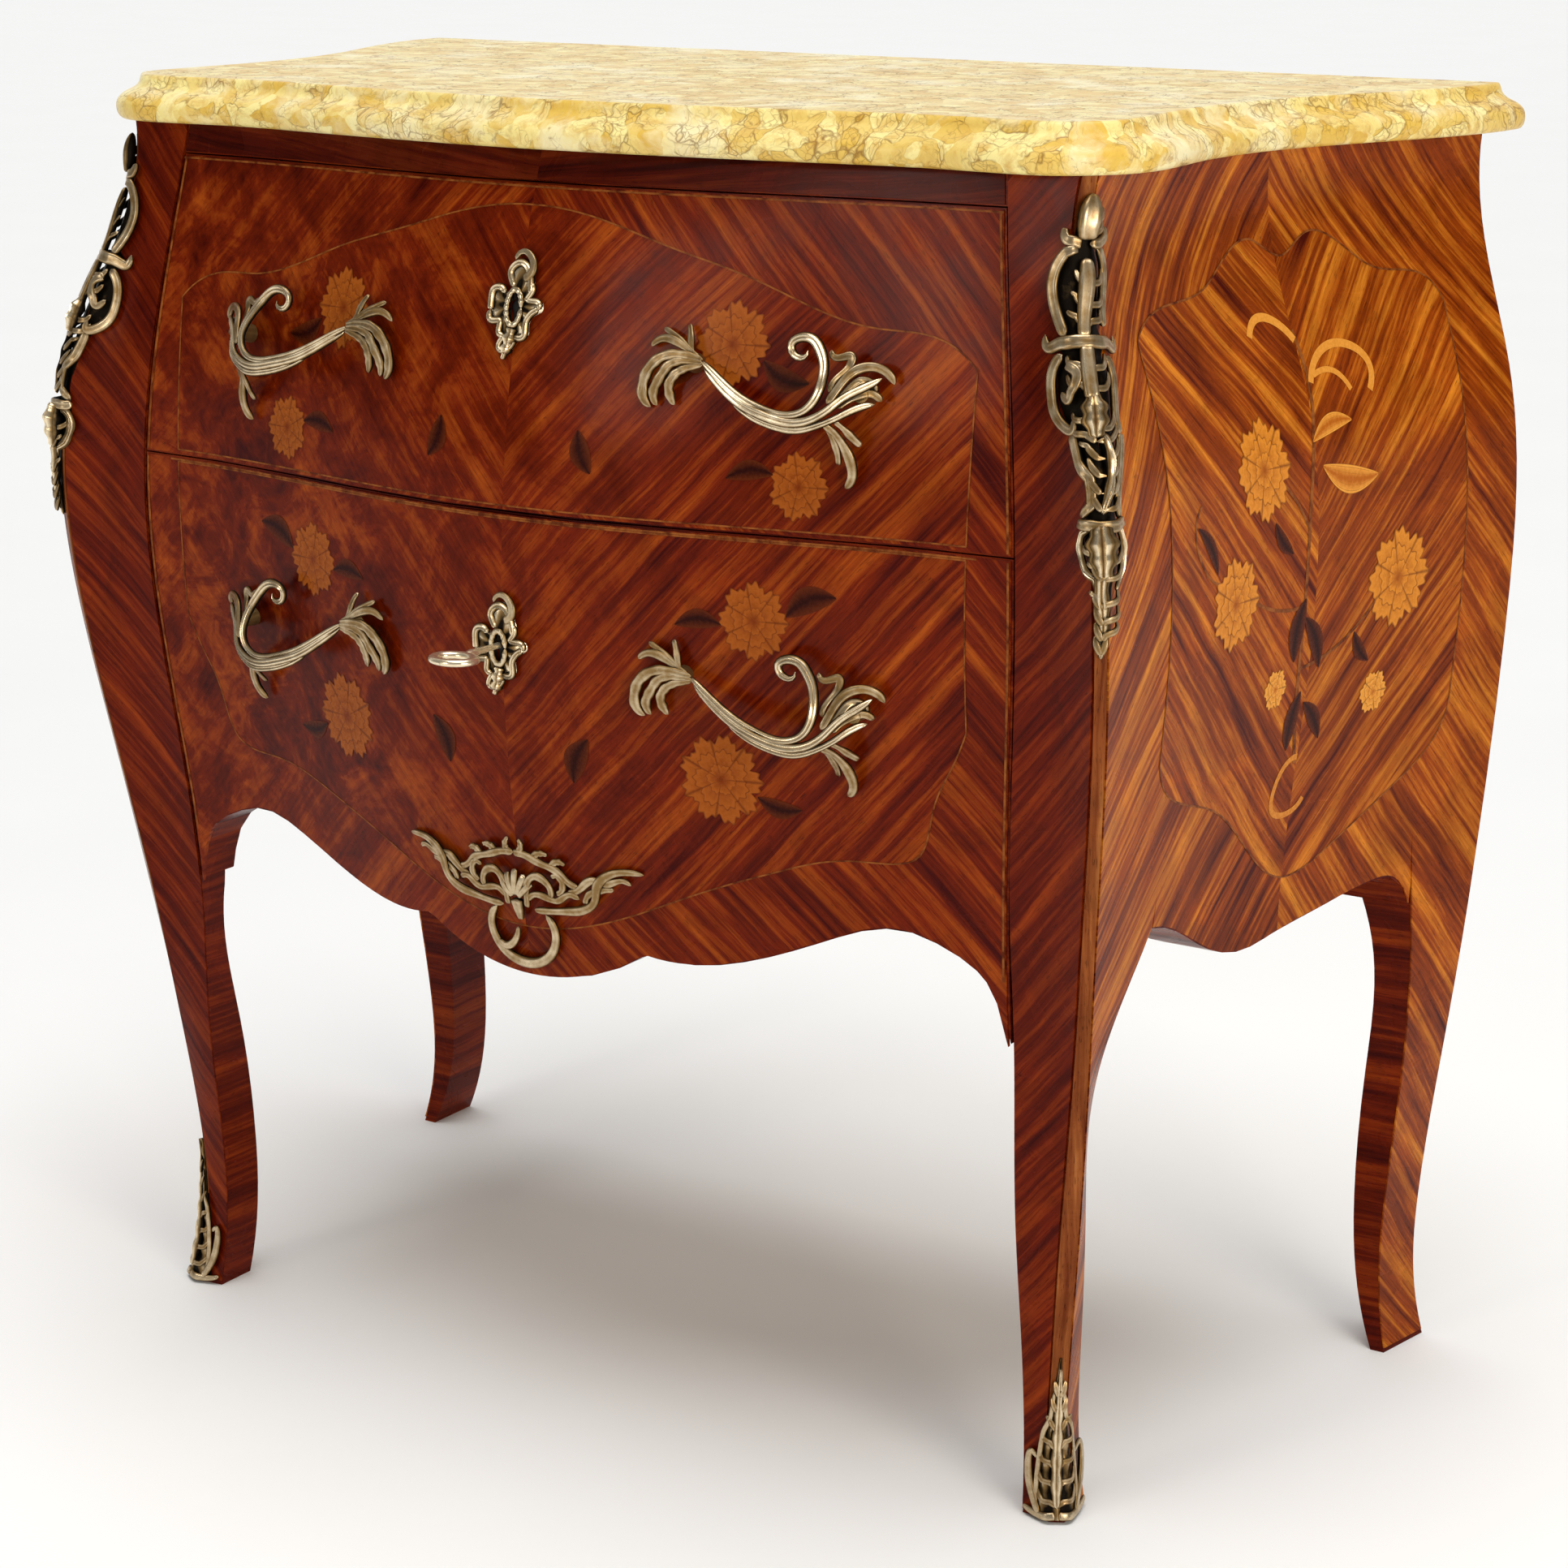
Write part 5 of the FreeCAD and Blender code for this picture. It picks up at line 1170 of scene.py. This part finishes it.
def sabot():
    """Leaf shoe on the front foot: height 2.4 (1 - c^2) + ribs, over a width that narrows to its tip."""
    up = np.linspace(0.0015, 0.106, 60)[:, None]
    c = np.linspace(-1, 1, 25)[None, :]
    width = np.interp(up, np.array((0, 6, 20, 34, 48, 62, 76, 90, 108)) / 1000,
                      np.array((13, 12, 10, 8.4, 7, 5.4, 3.8, 2.4, 0.6)) / 1000)
    across = foot_across(c, width, up)
    rib = np.cos(3 * np.pi * c)
    height = 0.0014 + (0.0024 + 0.0008 * rib) * (1 - c * c) + 0.0012 * np.exp(-((up - 0.006) / 0.006) ** 2)
    height = height + 0.0007 * np.cos(up * 2 * np.pi / 0.012) * np.abs(c) * (1 - np.abs(c)) * 4
    points = folded(on_corner, across, up, height, ground_fold)
    # Painted light and shade over the ribs: lighter on their crests, darker between them, with patina in
    # the hollows
    shade = np.pad(np.clip(0.3 + 0.3 * rib + 0.1 * np.cos(up * 520), 0, 1), 1)
    sheets = [(points, np.zeros(points.shape[:2] + (2,)), shade)]
    leaf = ((8, 4, 4.5, 2.4), (12, 16, 4, 2.8), (14, 30, 4, 2.8), (12.5, 42, 3.5, 2), (9, 38, 3.5, 1.6))
    rim = ((1, 4, 4.5, 2.8), (7, 3.5, 4, 2.6), (13, 4, 3.5, 2.2), (18, 6, 3, 1.4))
    rise = ((10, 8, 4, 2), (8.6, 30, 4, 2), (6, 56, 4, 1.8), (3, 84, 3.4, 1.4))
    for side in (-1, 1):
        sheets += [foot_strand(side, rows, groove=0.35) for rows in (leaf, rim, rise)]
    stem = ((0, 8, 5, 3.4), (0, 30, 5, 4), (0, 60, 5, 3.4), (0, 100, 3.4, 1.2))
    sheets.append(foot_strand(1, stem, lobes=6, lobe=0.15, ribs=2, groove=0.45))
    for level_up, reach in ((10, 9), (22, 8.5), (34, 7.5), (46, 6.5), (58, 5.5), (70, 4.5), (81, 3.2)):
        for side, rows in zip((-1, 1), leaf_pair(0, level_up, reach, low=5.4)):
            sheets.append(foot_strand(side, np.abs(rows), groove=0.5))
    return sheets


def key():
    """Key in the lower lock: straight shank with a collar, and a level oval ring."""
    low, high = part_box("lower_key")
    shank_z = shield_heights["lower"]
    bow = low.y + 0.013
    s = np.linspace(0, 1, 40)
    reach = np.interp(s, (0, 1), (high.y, low.y + 0.022))
    near = np.abs(reach - (low.y + 0.029))
    collar = 0.0014 * np.exp(-(near / 0.0018) ** 2)
    width = 0.0024 + collar + 0.0009 * np.exp(-(np.abs(near - 0.006) / 0.0012) ** 2)
    width[[0, -1]] = 0.0003
    upward = np.array((0, 0, 1.0))
    path = np.stack([0 * s, reach, 0 * s + shank_z], -1)
    shank = tube(path, np.broadcast_to(upward, path.shape), width, 1, 1, 0.0)
    turn = np.linspace(0, 2 * np.pi, 65)
    ring = np.stack([0.0135 * np.sin(turn), bow - 0.0105 * np.cos(turn), 0 * turn + shank_z], -1)
    bow_ring = tube(ring, np.broadcast_to(upward, ring.shape), np.full(len(ring), 0.0034), 0.9, 1, 0.1)
    return [(points, place, np.ones(shade.shape)) for points, place, shade in (shank, bow_ring)]


for name, height in pull_heights.items():
    body = "drawer_" + name
    pull = handle(height)
    piece(name + "_pull_right", pull, brass, body, [body + "_handle_right"])
    piece(name + "_pull_left", mirror(pull), brass, body, [body + "_handle_left"])
for name, height in shield_heights.items():
    body = "drawer_" + name
    piece(name + "_shield", escutcheon(height), brass, body, [body + "_escutcheon"])
    piece(name + "_keyhole", hole(height), dark, body)
piece("apron_shell", apron_mount(), brass, "drawer_lower", ["apron_mount"])
for side, turned in (("right", list), ("left", mirror)):
    for name, sheets, node in (("corner_casting_", corner_mount(), "corner_mount_"),
                               ("sabot_casting_", sabot(), "sabot_")):
        piece(name + side, turned(sheets), brass, "carcass", [node + side])
piece("key_turned", key(), brass, "key", ["lower_key"])

# Finishes of the solids that stay in view
finishes = {"veneer": cross_veneer, "oak": oak, "softwood": pine, "iron": iron,
            "gilt_brass": plain_brass, "marble": marble}
wide_boards = ("rail", "back", "bottom", "dust_board")
for name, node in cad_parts.items():
    slots = [m.name for m in node.data.materials if m]
    slot_name = next((slot for slot in finishes if any(slot in s for s in slots)), "veneer")
    chosen = cross_veneer if "leg" in name else finishes[slot_name]
    if chosen is oak and any(word in name for word in wide_boards):
        chosen = oak_wide
    node.data.materials.clear()
    node.data.materials.append(chosen)


# Studio

def soft_light(name, place, aim, size, power, color):
    data = bpy.data.lights.new(name, "AREA")
    data.shape = "RECTANGLE"
    data.size, data.size_y = size
    data.energy = power
    data.color = color
    light = bpy.data.objects.new(name, data)
    light.location = place
    light.rotation_euler = (Vector(aim) - Vector(place)).to_track_quat("-Z", "Y").to_euler()
    bpy.context.scene.collection.objects.link(light)


def floor_build(net):
    place = net.noise(object_place(net), 3.0)
    color = net.mix(place, tint(228, 228, 227), tint(232, 232, 231))
    return {"Color": color, "Gloss": net.between(place, 0.0, 1.0, 0.75, 0.85), "Height": place}


def plain_floor(reach=60.0):
    """Level square floor, wide enough to reach the horizon of the view."""
    mesh = bpy.data.meshes.new("floor")
    corners = [(x, y, 0) for x, y in ((-reach, -reach), (reach, -reach), (reach, reach), (-reach, reach))]
    mesh.from_pydata(corners, [], [(0, 1, 2, 3)])
    mesh.materials.append(surfaced("floor", floor_build, bump=0.0))
    floor = bpy.data.objects.new("floor", mesh)
    bpy.context.scene.collection.objects.link(floor)
    return floor


def studio():
    """Pale floor, soft lights and the camera at the photograph's angle."""
    scene = bpy.context.scene
    scene.view_settings.view_transform = "Standard"
    world = bpy.data.worlds.new("studio")
    scene.world = world
    world.use_nodes = True
    background = world.node_tree.nodes["Background"]
    background.inputs["Color"].default_value = (1, 1, 1, 1)
    net = Net(world.node_tree)
    way = net.add("ShaderNodeTexCoord").outputs["Generated"]
    behind = net.vectors("DOT_PRODUCT", way, (-0.55, 0.83, 0)).node.outputs["Value"]
    seen = net.add("ShaderNodeLightPath").outputs["Is Camera Ray"]
    strength = net.maths("MAXIMUM", net.between(behind, 0.3, 0.8, 0.16, 0.9), seen)
    world.node_tree.links.new(strength, background.inputs["Strength"])
    plain_floor()
    soft_light("key", (2.6, -1.4, 1.25), (0.1, 0, 0.45), (1.1, 1.1), 35, (1.0, 0.92, 0.8))
    soft_light("front", (-0.9, -3.0, 1.4), (-0.1, 0, 0.45), (0.65, 0.95), 12.5, (1.0, 0.94, 0.85))
    sky = bpy.data.lights.new("sky", "SUN")
    sky.energy = 2.75
    sky.angle = 0.9
    overhead = bpy.data.objects.new("sky", sky)
    overhead.rotation_euler = (math.radians(5), math.radians(4), 0)
    scene.collection.objects.link(overhead)
    data = bpy.data.cameras.new("camera")
    data.sensor_width = 36
    data.lens = 83.06
    camera = bpy.data.objects.new("camera", data)
    scene.collection.objects.link(camera)
    azimuth, elevation = math.radians(33.053), math.radians(15.060)
    away = Vector((math.sin(azimuth) * math.cos(elevation), -math.cos(azimuth) * math.cos(elevation),
                   math.sin(elevation)))
    camera.matrix_world = away.to_track_quat("Z", "Y").to_matrix().to_4x4()
    camera.location = (1.33403, -1.94835, 1.02825)
    scene.camera = camera


studio()
